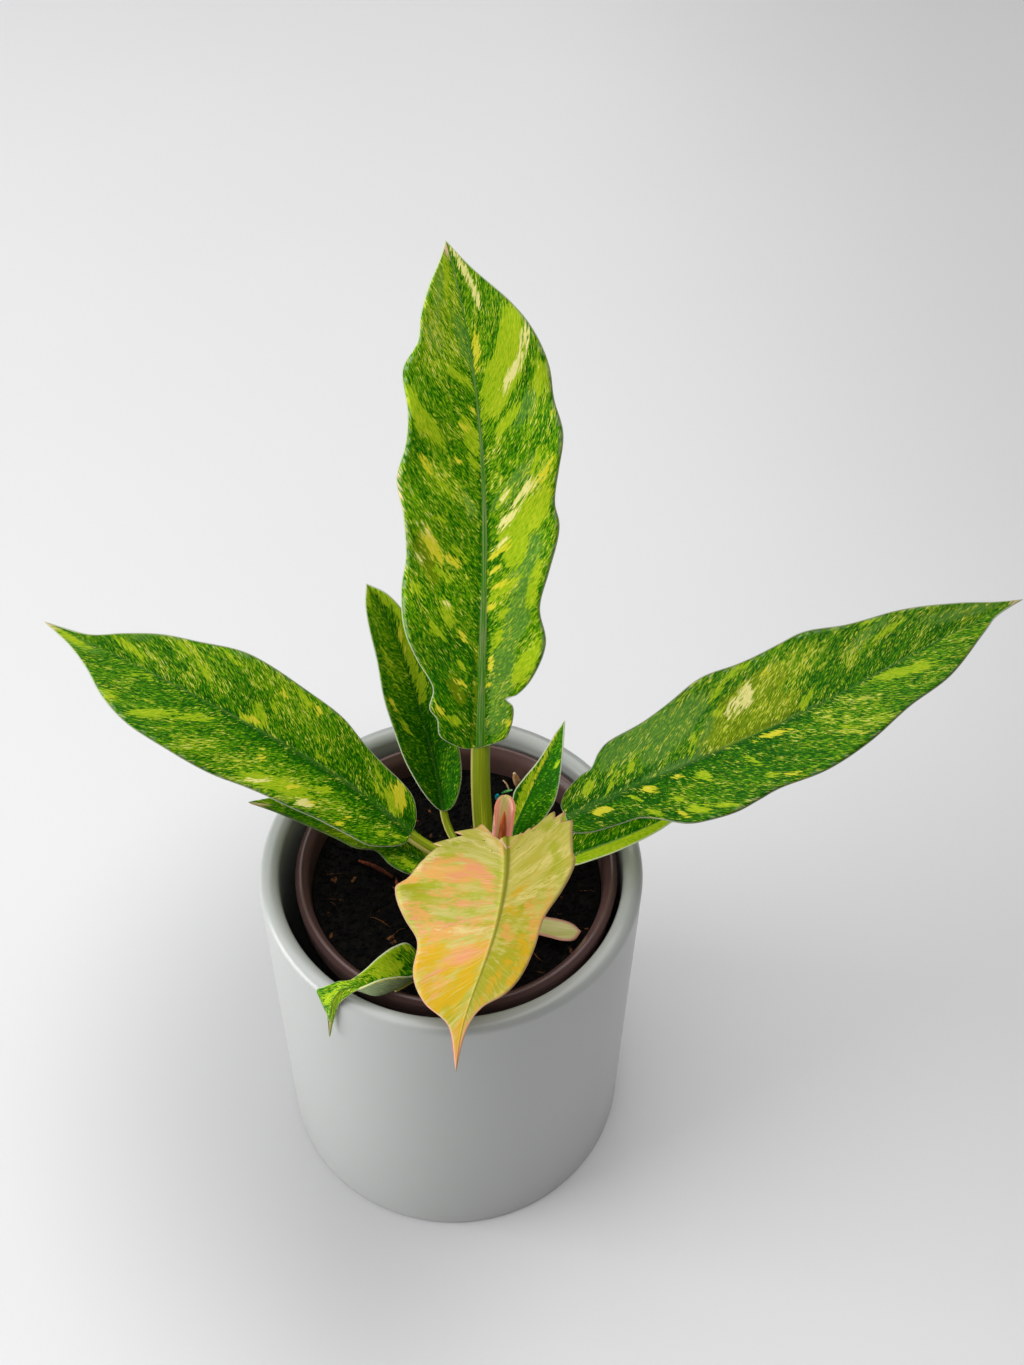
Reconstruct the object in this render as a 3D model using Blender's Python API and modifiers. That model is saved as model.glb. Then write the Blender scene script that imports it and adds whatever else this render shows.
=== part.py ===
"""Young variegated philodendron, growing in a plastic nursery pot that stands in a glazed cover pot.

The origin is the middle of the cover pot's foot, +Z is up and -Y is the side the plant is looked at from.
Sizes are written in millimetres and multiplied by MM where a mesh is made.
"""
import math
from dataclasses import dataclass

import bmesh
import bpy
import numpy as np

MM = 0.001
SEAT = 0.3              # gap between two pieces that touch

# Cover pot: a straight cylinder with a full round lip
POT_DIAMETER = 152.0
POT_HEIGHT = 172.5
POT_WALL = 7.8
POT_FLOOR = 8.0
POT_FOOT_ROUND = 2.5
POT_SEGMENTS = 64

# Nursery pot: thin tapered wall, flared rim band, drain holes, standing a little off the middle
NURSERY_PLACE = (2.0, 2.6)
NURSERY_RIM_RADIUS = 64.5
NURSERY_RIM_HEIGHT = 166.3
NURSERY_BAND = 12.0
NURSERY_FOOT_RADIUS = 52.0
NURSERY_WALL = 1.6
NURSERY_THROAT = 58.8
NURSERY_SEGMENTS = 60
DRAIN_HOLES = 6
DRAIN_RADIUS = 5.0
DRAIN_CIRCLE = 38.0

# Soil: peat up to a hand's breadth below the rim, loosely heaped
SOIL_LEVEL = 153.5
SOIL_RINGS = 11
SOIL_LUMPS = ((0.55, 0.31, 0.4), (0.41, 0.52, 2.1), (0.32, 0.83, 4.4), (0.22, 1.17, 1.3))
SOIL_HEIGHT = 0.55

# Stem: the short crown that every stalk grows from
STEM_PLACE = (15.0, -1.0)
STEM_PROFILE = ((6.0, 126.0), (7.6, 134.0), (8.6, 150.0), (8.4, 160.0), (7.6, 168.0), (7.2, 175.0),
                (6.4, 177.0))
STEM_SEGMENTS = 28

BLADE_THICKNESS = 0.9
VEIN_LEAN = 0.7         # how far a side vein runs forward for each millimetre it runs out
BASE_SPREAD = 0.08      # share of the rib that the fan of veins at the base is spread over
RIB_STEPS = 80          # steps that the rib's curve is added up from
STALK_RINGS = 8
RIB_RINGS = 7
RIB_END_RADIUS = 0.75


def smooth_row(values, places):
    """Smooth values (a Catmull-Rom row) at places from 0, the first value, to 1, the last."""
    values = np.asarray(values, float)
    last = len(values) - 1
    padded = np.concatenate([[2 * values[0] - values[1]], values, [2 * values[-1] - values[-2]]])
    spot = np.clip(np.asarray(places, float), 0.0, 1.0) * last
    index = np.minimum(spot.astype(int), last - 1)
    t = spot - index
    if values.ndim == 2:
        t = t[..., None]
    a, b, c, d = (padded[index + k] for k in range(4))
    cubic = (3 * b - a - 3 * c + d) * t ** 3
    return 0.5 * (2 * b + (c - a) * t + (2 * a - 5 * b + 4 * c - d) * t ** 2 + cubic)


def compass(heading, pitch):
    """Unit direction from a turn from +X and a rise above level, in degrees."""
    heading, pitch = math.radians(heading), math.radians(pitch)
    return np.array([math.cos(heading) * math.cos(pitch), math.sin(heading) * math.cos(pitch),
                     math.sin(pitch)])


def calm(edge):
    """Margin with its teeth evened out, for the cells inside the blade."""
    even = edge.copy()
    even[1:-1] = 0.25 * edge[:-2] + 0.5 * edge[1:-1] + 0.25 * edge[2:]
    return even


@dataclass
class Leaf:
    """One leaf grown as one piece: stalk, rib and blade. Lengths in millimetres, turns in degrees.

    headings and pitches are the rib's compass turn from +X and its rise above level, evenly spaced from
    the blade's base to its tip. A margin is a row of points (along the rib, away from it), both margins
    with as many points. left is the half on the left hand when looking from base to tip on the upper face.
    """
    name: str
    colour: str
    foot: float                     # height on the stem's axis where the stalk starts
    launch: float                   # rise of the stalk where it starts
    base: tuple                     # where the stalk meets the blade
    length: float                   # of the rib
    headings: tuple
    pitches: tuple
    left: tuple
    right: tuple
    stalk: tuple                    # stalk radius at the stem and at the blade
    neck: tuple = ()                # way the stalk runs where it meets the blade, if not the rib's
    rolls: tuple = (0.0, 0.0)       # turn of the blade about its rib, at base and tip
    folds: tuple = (15.0, 15.0)     # rise of the left and of the right half above flat, at the rib
    curl: float = 0.0               # further turn of each half from rib to margin
    wave: tuple = (0.0, 40.0)       # height and length of the margin's waves
    rib_share: float = 0.3          # share of the blade that the thick rib runs under
    across: int = 3                 # cells from rib to margin
    between: int = 1                # cells between two margin points

    def direction(self, share):
        """Way the rib runs at a share of its length."""
        inside = min(max(share, 0.0), 1.0)
        return compass(smooth_row(self.headings, inside), smooth_row(self.pitches, inside))

    def upward(self, share):
        """Way the upper face looks at a share of the rib."""
        inside = min(max(share, 0.0), 1.0)
        level = compass(smooth_row(self.headings, inside) + 90.0, 0.0)
        up = np.cross(self.direction(inside), level)
        roll = math.radians(self.rolls[0] + (self.rolls[1] - self.rolls[0]) * inside)
        return up * math.cos(roll) - level * math.sin(roll)

    def rib_point(self, share):
        """Point of the rib at a share of its length, straight on past its two ends."""
        inside = min(max(share, 0.0), 1.0)
        point = np.array(self.base, float)
        for step in range(RIB_STEPS):
            part = min(max(inside * RIB_STEPS - step, 0.0), 1.0)
            point += self.direction((step + 0.5) / RIB_STEPS) * part * self.length / RIB_STEPS
        return point + (share - inside) * self.length * self.direction(inside)

    def lay_out(self, rows):
        """Margins at the grid's rows, and where on the rib the side vein to each row starts."""
        self.edges = {1: smooth_row(self.left, rows), -1: smooth_row(self.right, rows)}
        self.evened = {side: calm(edge) for side, edge in self.edges.items()}
        reach = BASE_SPREAD * self.length * rows
        for edge in self.edges.values():
            reach = reach + 0.5 * np.maximum.accumulate(np.maximum(edge[:, 0] - VEIN_LEAN * edge[:, 1], 0.0))
        reach = reach * self.length / reach[-1]
        nearest = np.minimum(self.edges[1][:, 0], self.edges[-1][:, 0])
        self.starts = np.where(rows > 0.5, np.minimum(reach, nearest), reach)

    def flat_point(self, row, side, share):
        """Grid point on the flat blade: along the rib, and across it with the left half positive."""
        start = self.starts[row]
        edge = self.evened[side][row] + (self.edges[side][row] - self.evened[side][row]) * share ** 3
        return start + (edge[0] - start) * share, side * max(edge[1], 0.0) * share

    def bent_point(self, along, across):
        """Place on the bent blade of a point on the flat one."""
        share = along / self.length
        up = self.upward(share)
        outward = np.cross(up, self.direction(share)) * (1 if across > 0 else -1)
        out = abs(across)
        fold = math.radians(self.folds[0 if across > 0 else 1])
        turn = math.radians(self.curl) * out / max(width for _, width in self.left + self.right) + 1e-6
        sideways = out * (math.sin(fold + turn) - math.sin(fold)) / turn
        rise = out * (math.cos(fold) - math.cos(fold + turn)) / turn
        height, length = self.wave
        ripple = math.sin(math.tau * along / length + (0.0 if across > 0 else 1.9))
        rise += height * ripple * (out / 25.0) ** 2
        return self.rib_point(share) + outward * sideways + up * rise


@dataclass
class DrapedLeaf:
    """A leaf twisted too far for one fold: its rib and both margins are points in space, base to tip."""
    name: str
    colour: str
    foot: float
    launch: float
    stalk: tuple
    rib_share: float
    rib: tuple
    left: tuple
    right: tuple
    neck: tuple = ()
    across: int = 3
    between: int = 1

    def direction(self, share):
        """Way the rib runs at a share of its rows."""
        way = smooth_row(self.rib, min(share + 0.02, 1.0)) - smooth_row(self.rib, min(share, 0.98))
        return way / np.linalg.norm(way)

    def upward(self, share):
        """Way the upper face looks at a share of the rib."""
        span = smooth_row(self.left, share + 0.1) - smooth_row(self.right, share + 0.1)
        up = np.cross(self.direction(share), span)
        return up / np.linalg.norm(up)

    def rib_point(self, share):
        """Point of the rib at a share of its rows."""
        return smooth_row(self.rib, share)

    def lay_out(self, rows):
        """Rows of the grid."""
        self.rows = rows

    def flat_point(self, row, side, share):
        """Stand-in for the flat blade: row by row along, and across it with the left half positive."""
        width = min(1.0, 10.0 * row, 10.0 * (len(self.rows) - 1 - row))
        return 4.0 * row, 8.0 * side * share * width

    def bent_point(self, along, across):
        """Place in space of a point on the flat stand-in."""
        share = along / 4.0 / (len(self.rows) - 1)
        margin = smooth_row(self.left if across > 0 else self.right, share)
        rib = self.rib_point(share)
        return rib + (margin - rib) * abs(across) / 8.0


LEAVES = (
    Leaf("leaf_tall", "leaf_green", foot=157.0, launch=50.0, base=(12.0, 23.0, 214.5), length=191.0,
         headings=(86, 86, 98, 113), pitches=(70, 62, 54, 49), folds=(14, 12), curl=-4.0,
         wave=(1.4, 40.0), stalk=(4.3, 3.7), rib_share=0.55,
         left=((0, 0), (0, 6), (2.5, 11), (7, 16), (14, 17), (19, 20), (27, 18.8), (38, 24.5), (52, 29.5),
               (66, 31), (80, 29.2), (95, 30), (109, 32), (122, 28.2), (134, 26.5), (149, 26.3),
               (158.5, 19.3), (167, 16.8), (176.5, 11.5), (185, 4.5), (191, 0)),
         right=((0, 0), (3, 6), (6, 10.2), (13, 12.4), (19.5, 12.5), (22.8, 9.5), (25, 14), (33, 19.5),
                (47, 24), (60, 21.2), (74, 24), (89, 27.5), (98, 26), (109, 27.5), (121, 29.5),
                (132, 27.8), (143, 27.5), (155, 23.5), (166, 17.4), (180, 6.5), (191, 0))),
    Leaf("leaf_left", "leaf_green", foot=161.0, launch=44.0, base=(-15.5, 3.5, 186.5), length=162.0,
         headings=(162.5, 166, 163, 160.5), pitches=(48.5, 35.5, 26, 18), rolls=(-16, -16),
         folds=(14, 16), curl=-4.0, wave=(0.8, 46.0), stalk=(2.9, 2.4), rib_share=0.5,
         left=((0, 0), (0, 3.5), (2, 7), (7, 11.5), (16, 17), (26, 18.7), (40, 20.5), (53, 22.7), (70, 24),
               (85, 25.8), (100, 25.7), (117, 23.4), (130, 17.8), (140, 10.2), (150, 4.4), (162, 0)),
         right=((0, 0), (1, 4), (4, 8), (9, 11.6), (16, 13.3), (26, 14.4), (37, 16.5), (50, 20.5),
                (66, 22.5), (82, 23.4), (95, 22.7), (109, 18.8), (122, 14.8), (134, 9), (146, 2.6),
                (162, 0))),
    Leaf("leaf_right", "leaf_green", foot=160.0, launch=50.0, base=(44.5, 2.0, 196.2), length=195.0,
         headings=(6.5, 9, 21, 23), pitches=(31.5, 24.5, 17.5, 7), rolls=(14, 14), folds=(16, 14),
         curl=-4.0, wave=(1.0, 52.0), stalk=(3.2, 2.8), rib_share=0.5,
         left=((0, 0), (0, 5.5), (4, 9.7), (12, 12.7), (17, 13.5), (22, 17.8), (28, 20.5), (42, 22),
               (55, 24.5), (70, 28), (85, 27.7), (104, 27.3), (115, 26.5), (130, 21.8), (150, 17.3),
               (172, 9), (184, 3.8), (195, 0)),
         right=((0, 0), (1, 7), (8, 11), (20, 13), (28, 14), (35, 17.7), (45, 24.8), (53, 27.2),
                (63, 27.9), (72, 26.4), (81, 25.3), (97, 26.8), (113, 24), (132, 18.6), (152, 15.5),
                (173, 6), (182, 1.8), (195, 0))),
    Leaf("leaf_back", "leaf_green", foot=156.0, launch=22.0, base=(-3.0, 25.0, 171.5), length=103.0,
         headings=(105.5, 115.5, 126.5, 141), pitches=(63.5, 62, 58.5, 54), rolls=(-20, -20),
         folds=(34, 34), wave=(0.5, 40.0), stalk=(1.8, 1.6), rib_share=0.25,
         left=((0, 0), (2, 2.5), (8, 6), (17, 9.5), (30, 13), (45, 14.6), (60, 15), (74, 12.6), (88, 10),
               (97, 6.2), (103, 0)),
         right=((0, 0), (2, 4.5), (8, 9), (18, 12.8), (30, 14), (45, 13.2), (60, 11.7), (74, 10.5),
                (87, 8.5), (96, 5.5), (103, 0))),
    Leaf("leaf_new", "leaf_yellow", foot=158.0, launch=36.0, neck=(-75.0, 80.0),
         base=(21.0, -16.5, 202.5), length=90.0,
         headings=(-90, -104, -116, -98), pitches=(17.5, -9, -30, -54), rolls=(20, 16), folds=(16, 12),
         wave=(0.9, 34.0), stalk=(3.0, 2.4), rib_share=0.5,
         left=((0, 0), (-3.5, 4.5), (-5, 7.5), (-4, 10), (-4.6, 13), (-6.9, 19.8), (-2.2, 22.8), (-2, 26),
               (1.5, 25.3), (4.5, 28.6), (9, 29), (18, 29.8), (25, 25.5), (33, 20.6), (42, 20.4), (50, 19),
               (57, 14.5), (64, 6.2), (73, 1.9), (90, 0)),
         right=((0, 0), (-17.5, 8.2), (-18.2, 11), (-17, 14), (-16.5, 17.5), (-13.4, 18.2), (-13, 21.5),
                (-11.5, 26), (-7.3, 26.4), (0, 31.3), (11, 36), (20, 41), (30, 38.5), (41, 34.5),
                (50, 27.8), (62, 24), (69.5, 16.5), (75, 5.5), (82, 2), (90, 0))),
    Leaf("leaf_small", "leaf_green", foot=162.0, launch=40.0, base=(23.5, 9.0, 174.5), length=59.0,
         headings=(43, 39, 36.5, 39.5), pitches=(64, 62.5, 62, 65.5), rolls=(12, 12), folds=(46, 22),
         stalk=(2.0, 1.7), rib_share=0.25,
         left=((0, 0), (5, 3.4), (12, 6.2), (20, 8), (29, 7.2), (39, 4.8), (48, 2.8), (59, 0)),
         right=((0, 0), (4, 4.1), (11, 8.8), (20, 12.4), (29, 13.5), (39, 10.8), (48, 6), (59, 0))),
    Leaf("leaf_low_left", "leaf_green", foot=155.6, launch=14.0, base=(-9.5, 0.0, 170.5), length=76.0,
         headings=(163, 168.5, 174, 179), pitches=(33.5, 27.5, 20, 11), rolls=(-6, -6), folds=(25, 25),
         wave=(0.5, 30.0), stalk=(1.9, 1.6), rib_share=0.25,
         left=((0, 0), (2, 7), (8, 11.5), (16, 11.8), (23, 8), (32, 11.5), (39, 10.6), (47, 9), (56, 6.7),
               (65, 3.7), (76, 0)),
         right=((0, 0), (1, 4.5), (6, 8), (14, 10), (22, 11), (32, 11), (40, 10), (48, 8.6), (57, 6.4),
                (66, 3.4), (76, 0))),
    Leaf("leaf_low_right", "leaf_green", foot=155.8, launch=22.0, base=(43.0, 0.0, 170.7), length=62.0,
         headings=(2, 7.5, 15.5, 24.5), pitches=(24.5, 23, 20, 15), folds=(32, 32), stalk=(2.0, 1.8),
         rib_share=0.25,
         left=((0, 0), (2, 5), (8, 8.6), (16, 9.3), (26, 9.8), (35, 9.8), (44, 8.5), (53, 5.3), (62, 0)),
         right=((0, 0), (1, 6), (7, 8.8), (15, 9.2), (23, 9.2), (32, 8.2), (41, 6.6), (51, 3.2),
                (62, 0))),
    Leaf("scale_leaf", "leaf_pale", foot=156.2, launch=4.0, base=(26.5, -19.5, 157.6), length=25.0,
         headings=(-34, -18, -7.5, -0.5), pitches=(6.5, 4.5, 0, -4), folds=(18, 18), stalk=(1.3, 1.3),
         rib_share=0.3, across=2,
         left=((0, 0), (0, 3.4), (4, 4.7), (12, 4.8), (18, 4.2), (22, 2.8), (25, 0)),
         right=((0, 0), (1, 3.4), (6, 4), (13, 5), (18, 6.2), (22, 5.4), (25, 0))),
)

# The leaf that lies over the lip and hangs down outside it, twisted too far for an even fold
DRAPED = DrapedLeaf(
    "leaf_front", "leaf_green", foot=157.0, launch=10.0, stalk=(1.8, 1.4), rib_share=0.2,
    rib=((-9.5, -43, 162.5), (-15.5, -49, 166), (-22, -55, 169), (-28.5, -60, 173.5), (-34, -60.5, 177.5),
         (-38, -60, 179), (-41.6, -60.2, 178), (-44.2, -61.5, 174.5), (-45.7, -63, 168),
         (-46.8, -62.5, 159), (-47.6, -63, 148.5)),
    left=((-9.5, -43, 162.5), (-15.5, -51, 171), (-21, -54.5, 177), (-27, -58.5, 182), (-32.5, -60.5, 181),
          (-36.8, -61.5, 178.5), (-40.5, -62.5, 175.5), (-42.5, -63, 172.5), (-44, -63.5, 167),
          (-45.5, -63, 160), (-47.6, -63, 148.5)),
    right=((-9.5, -43, 162.5), (-16.5, -37, 171), (-22, -40, 175), (-27.5, -46, 178), (-33, -53, 180),
           (-38, -57, 180), (-42.7, -57, 179), (-48, -57.5, 176.5), (-51, -57, 173), (-48, -61.5, 166),
           (-47.6, -63, 148.5)))

# Bud: the next leaf, still rolled, in the sheath that will drop off
SHEATH = Leaf("bud_sheath", "sheath_pink", foot=0.0, launch=0.0, base=(19.1, 4.6, 177.6), length=31.0,
              headings=(30, 30, 30, 30), pitches=(86, 86, 86, 88), rolls=(60, 60), folds=(4, 4),
              curl=122.0, stalk=(0.0, 0.0), across=5,
              left=((0, 0), (0.2, 5), (1.2, 8.6), (9, 9.2), (17, 9.2), (24, 8.4), (28, 6.4), (30.3, 3.6),
                    (31, 0)),
              right=((0, 0), (0.2, 5), (1.2, 8.6), (9, 9.2), (17, 9.2), (24, 8.4), (28.5, 6.4),
                     (30.3, 3.6), (31, 0)))
ROLLED_LEAF = ((19.2, 0.4, 177.5, 2.0), (19.6, 0.2, 184.0, 2.2), (20.1, 0.1, 191.0, 1.9),
               (20.6, 0.0, 197.0, 1.4), (20.9, 0.0, 201.0, 0.9), (21.0, 0.0, 204.5, 0.35))

# Colour, roughness and metallic value of each finish
FINISHES = {
    "glaze_white": ((0.62, 0.63, 0.65), 0.28, 0.0),
    "plastic_brown": ((0.045, 0.030, 0.028), 0.42, 0.0),
    "peat_black": ((0.012, 0.009, 0.007), 0.95, 0.0),
    "stem_green": ((0.20, 0.26, 0.06), 0.55, 0.0),
    "leaf_green": ((0.09, 0.21, 0.02), 0.42, 0.0),
    "leaf_yellow": ((0.62, 0.50, 0.10), 0.45, 0.0),
    "leaf_pale": ((0.50, 0.55, 0.28), 0.55, 0.0),
    "sheath_pink": ((0.70, 0.48, 0.34), 0.50, 0.0),
    "bud_orange": ((0.55, 0.12, 0.04), 0.45, 0.0),
}


def clear_scene():
    """Start from an empty scene."""
    for thing in list(bpy.data.objects):
        bpy.data.objects.remove(thing, do_unlink=True)


def make_collection(name):
    """A collection of its own under the scene."""
    group = bpy.data.collections.new(name)
    bpy.context.scene.collection.children.link(group)
    return group


def finish(name):
    """Material of one finish, made the first time it is asked for."""
    if name in bpy.data.materials:
        return bpy.data.materials[name]
    colour, roughness, metallic = FINISHES[name]
    material = bpy.data.materials.new(name)
    material.use_nodes = True
    shader = material.node_tree.nodes["Principled BSDF"]
    shader.inputs["Base Color"].default_value = (*colour, 1.0)
    shader.inputs["Roughness"].default_value = roughness
    shader.inputs["Metallic"].default_value = metallic
    material.diffuse_color = (*colour, 1.0)
    return material


def add_object(name, mesh, group, colour):
    """Object for a mesh, with its finish, in a collection."""
    piece = bpy.data.objects.new(name, mesh)
    group.objects.link(piece)
    mesh.materials.append(finish(colour))
    return piece


def make_cutter(piece):
    """Keep a helper solid out of the model: it only joins or cuts."""
    piece.hide_render = True
    piece.display_type = 'WIRE'


def join_or_cut(piece, other, operation):
    """Boolean with another object."""
    step = piece.modifiers.new(operation.lower(), 'BOOLEAN')
    step.operation = operation
    step.object = other
    step.solver = 'EXACT'


def arc(centre, radius, start, end, steps):
    """Points on an arc of a profile; angles in degrees from +X, towards +Z."""
    angles = np.radians(np.linspace(start, end, steps + 1))
    return [(centre[0] + radius * math.cos(a), centre[1] + radius * math.sin(a)) for a in angles]


def turned(name, profile, segments, group, colour, place=(0.0, 0.0)):
    """Solid turned about a vertical axis from a profile of (radius, height) that runs down its outside."""
    mesh = bpy.data.meshes.new(name)
    points = [(r * MM, 0.0, z * MM) for r, z in profile]
    mesh.from_pydata(points, [(i, i + 1) for i in range(len(points) - 1)], [])
    piece = add_object(name, mesh, group, colour)
    piece.location = (place[0] * MM, place[1] * MM, 0.0)
    screw = piece.modifiers.new("turn", 'SCREW')
    screw.axis = 'Z'
    screw.steps = segments
    screw.render_steps = segments
    screw.use_merge_vertices = True
    screw.merge_threshold = 0.00001
    screw.use_smooth_shade = True
    return piece


def make_cover_pot(group):
    """Straight glazed cylinder with a round lip and a flat foot."""
    outer = POT_DIAMETER / 2
    inner = outer - POT_WALL
    lip = POT_WALL / 2
    lip_centre = (outer - lip, POT_HEIGHT - lip)
    floor_round = 4.0
    profile = [(0.0, POT_FLOOR)]
    profile += arc((inner - floor_round, POT_FLOOR + floor_round), floor_round, -90, 0, 4)
    profile += arc(lip_centre, lip, 180, 0, 10)
    profile += arc((outer - POT_FOOT_ROUND, POT_FOOT_ROUND), POT_FOOT_ROUND, 0, -90, 4)
    profile += [(0.0, 0.0)]
    return turned("cover_pot", profile, POT_SEGMENTS, group, "glaze_white")


def nursery_bore(height):
    """Inner radius of the nursery pot at a height."""
    foot = POT_FLOOR + SEAT
    share = (height - foot) / (NURSERY_RIM_HEIGHT - NURSERY_BAND - foot)
    return NURSERY_FOOT_RADIUS - NURSERY_WALL + share * (NURSERY_THROAT - NURSERY_FOOT_RADIUS + NURSERY_WALL)


def make_nursery_pot(group, cutters):
    """Thin tapered pot with a flared rim band and drain holes in its floor."""
    foot = POT_FLOOR + SEAT
    floor = foot + NURSERY_WALL
    rim = NURSERY_RIM_HEIGHT
    step = rim - NURSERY_BAND
    edge = NURSERY_RIM_RADIUS
    profile = [(0.0, floor), (nursery_bore(floor), floor), (nursery_bore(step), step)]
    profile += [(NURSERY_THROAT + 0.3, rim - 5.0), (NURSERY_THROAT + 1.8, rim - 1.6)]
    profile += arc((edge - 2.2, rim - 1.3), 1.3, 120, 20, 4)
    profile += [(edge, rim - 2.4), (edge - 0.6, step + 1.0), (edge - 1.4, step)]
    profile += [(nursery_bore(step) + NURSERY_WALL, step - 1.0), (NURSERY_FOOT_RADIUS, foot), (0.0, foot)]
    pot = turned("nursery_pot", profile, NURSERY_SEGMENTS, group, "plastic_brown", NURSERY_PLACE)
    bm = bmesh.new()
    for k in range(DRAIN_HOLES):
        turn = math.tau * k / DRAIN_HOLES
        hole = bmesh.ops.create_cone(bm, cap_ends=True, segments=12, radius1=DRAIN_RADIUS * MM,
                                     radius2=DRAIN_RADIUS * MM, depth=4 * NURSERY_WALL * MM)
        shift = (DRAIN_CIRCLE * math.cos(turn) * MM, DRAIN_CIRCLE * math.sin(turn) * MM,
                 (foot + NURSERY_WALL / 2) * MM)
        bmesh.ops.translate(bm, verts=hole["verts"], vec=shift)
    mesh = bpy.data.meshes.new("drain_holes")
    bm.to_mesh(mesh)
    bm.free()
    holes = add_object("drain_holes", mesh, cutters, "plastic_brown")
    holes.location = pot.location
    make_cutter(holes)
    join_or_cut(pot, holes, 'DIFFERENCE')
    return pot


def soil_bump(x, y):
    """Height of the peat's lumps at a place, in millimetres."""
    total = 0.0
    for size, pace, phase in SOIL_LUMPS:
        total += size * math.sin(pace * x + phase) * math.cos(pace * y + 1.7 * phase)
    return SOIL_HEIGHT * total


def make_soil(group, stem_cutter):
    """Peat that fills the nursery pot, lumpy on top, with a plain hole for the stem."""
    bottom = POT_FLOOR + NURSERY_WALL + 2 * SEAT
    edge = nursery_bore(SOIL_LEVEL) - SEAT
    radii = [edge * k / SOIL_RINGS for k in range(SOIL_RINGS)]
    profile = [(r, SOIL_LEVEL) for r in radii]
    profile += [(edge, SOIL_LEVEL - 0.6), (nursery_bore(bottom) - SEAT, bottom), (0.0, bottom)]
    blank = turned("soil_blank", profile, NURSERY_SEGMENTS, group, "peat_black")
    evaluated = blank.evaluated_get(bpy.context.evaluated_depsgraph_get())
    mesh = bpy.data.meshes.new_from_object(evaluated)
    bpy.data.objects.remove(blank, do_unlink=True)
    for point in mesh.vertices:
        if point.co.z > (SOIL_LEVEL - 0.1) * MM:
            fade = 1.0 - (math.hypot(point.co.x, point.co.y) / (edge * MM)) ** 6
            point.co.z += fade * soil_bump(point.co.x / MM, point.co.y / MM) * MM
    mesh.name = "soil"
    mesh.materials.clear()
    soil = add_object("soil", mesh, group, "peat_black")
    soil.location = (NURSERY_PLACE[0] * MM, NURSERY_PLACE[1] * MM, 0.0)
    join_or_cut(soil, stem_cutter, 'DIFFERENCE')
    return soil


def make_stem(name, group, grow=0.0):
    """Short crown, turned; grow makes the enlarged copy that cuts its seat in the soil and the stalks."""
    heights = [z for _, z in STEM_PROFILE]
    profile = [(0.0, heights[-1] + grow)]
    for radius, height in reversed(STEM_PROFILE):
        drop = grow if height == heights[-1] else 0.0
        profile.append((radius + grow, height + drop - (grow if height == heights[0] else 0.0)))
    profile.append((0.0, heights[0] - grow))
    return turned(name, profile, STEM_SEGMENTS, group, "stem_green", STEM_PLACE)


def blade_mesh(leaf):
    """Open blade: a grid with a row at every margin point, split into triangles flat and then bent."""
    cells = (len(leaf.left) - 1) * leaf.between
    leaf.lay_out(np.linspace(0.0, 1.0, cells + 1))
    bm = bmesh.new()
    bmesh.ops.create_grid(bm, x_segments=2 * leaf.across, y_segments=cells, size=1.0)
    for vert in bm.verts:
        row = round((vert.co.y + 1.0) / 2.0 * cells)
        vert.co = (*leaf.flat_point(row, -1 if vert.co.x > 0 else 1, abs(vert.co.x)), 0.0)
    bmesh.ops.remove_doubles(bm, verts=bm.verts, dist=0.01)
    bmesh.ops.triangulate(bm, faces=bm.faces, quad_method='BEAUTY')
    for vert in bm.verts:
        vert.co = leaf.bent_point(vert.co.x, vert.co.y) * MM
    mesh = bpy.data.meshes.new(leaf.name)
    bm.to_mesh(mesh)
    bm.free()
    return mesh


def stalk_path(leaf):
    """Centre line and radii of the stalk, from the stem's axis to the blade and on under the rib."""
    foot = np.array([*STEM_PLACE, leaf.foot])
    base = leaf.rib_point(0.0)
    way = base - foot
    reach = 0.4 * np.linalg.norm(way)
    first = foot + reach * compass(math.degrees(math.atan2(way[1], way[0])), leaf.launch)
    second = base - reach * (compass(*leaf.neck) if leaf.neck else leaf.direction(0.0))
    points, radii = [], []
    for t in np.linspace(0.0, 1.0, STALK_RINGS + 1)[:-1]:
        points.append((1 - t) ** 3 * foot + 3 * t * (1 - t) ** 2 * first
                      + 3 * t ** 2 * (1 - t) * second + t ** 3 * base)
        radii.append(leaf.stalk[0] + (leaf.stalk[1] - leaf.stalk[0]) * t)
    for share in np.linspace(0.0, 1.0, RIB_RINGS + 1):
        spot = share * leaf.rib_share
        radius = leaf.stalk[1] + (RIB_END_RADIUS - leaf.stalk[1]) * share ** 0.7
        sink = 0.4 * radius * min(1.0, 8 * share)
        points.append(leaf.rib_point(spot) - leaf.upward(spot) * sink)
        radii.append(radius)
    return points, radii


def tube_object(name, points, radii, group, colour):
    """Tapered round tube along points, as a closed mesh."""
    curve = bpy.data.curves.new(name, 'CURVE')
    curve.dimensions = '3D'
    curve.bevel_depth = MM
    curve.bevel_resolution = 2
    curve.use_fill_caps = True
    spline = curve.splines.new('POLY')
    spline.points.add(len(points) - 1)
    for spot, point, radius in zip(spline.points, points, radii):
        spot.co = (*(np.asarray(point) * MM), 1.0)
        spot.radius = radius
    carrier = bpy.data.objects.new(name, curve)
    group.objects.link(carrier)
    evaluated = carrier.evaluated_get(bpy.context.evaluated_depsgraph_get())
    mesh = bpy.data.meshes.new_from_object(evaluated)
    bpy.data.objects.remove(carrier, do_unlink=True)
    bm = bmesh.new()
    bm.from_mesh(mesh)
    bmesh.ops.remove_doubles(bm, verts=bm.verts, dist=0.00001)
    bm.to_mesh(mesh)
    bm.free()
    mesh.materials.clear()
    tube = add_object(name, mesh, group, colour)
    mesh.shade_smooth()
    return tube


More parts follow.
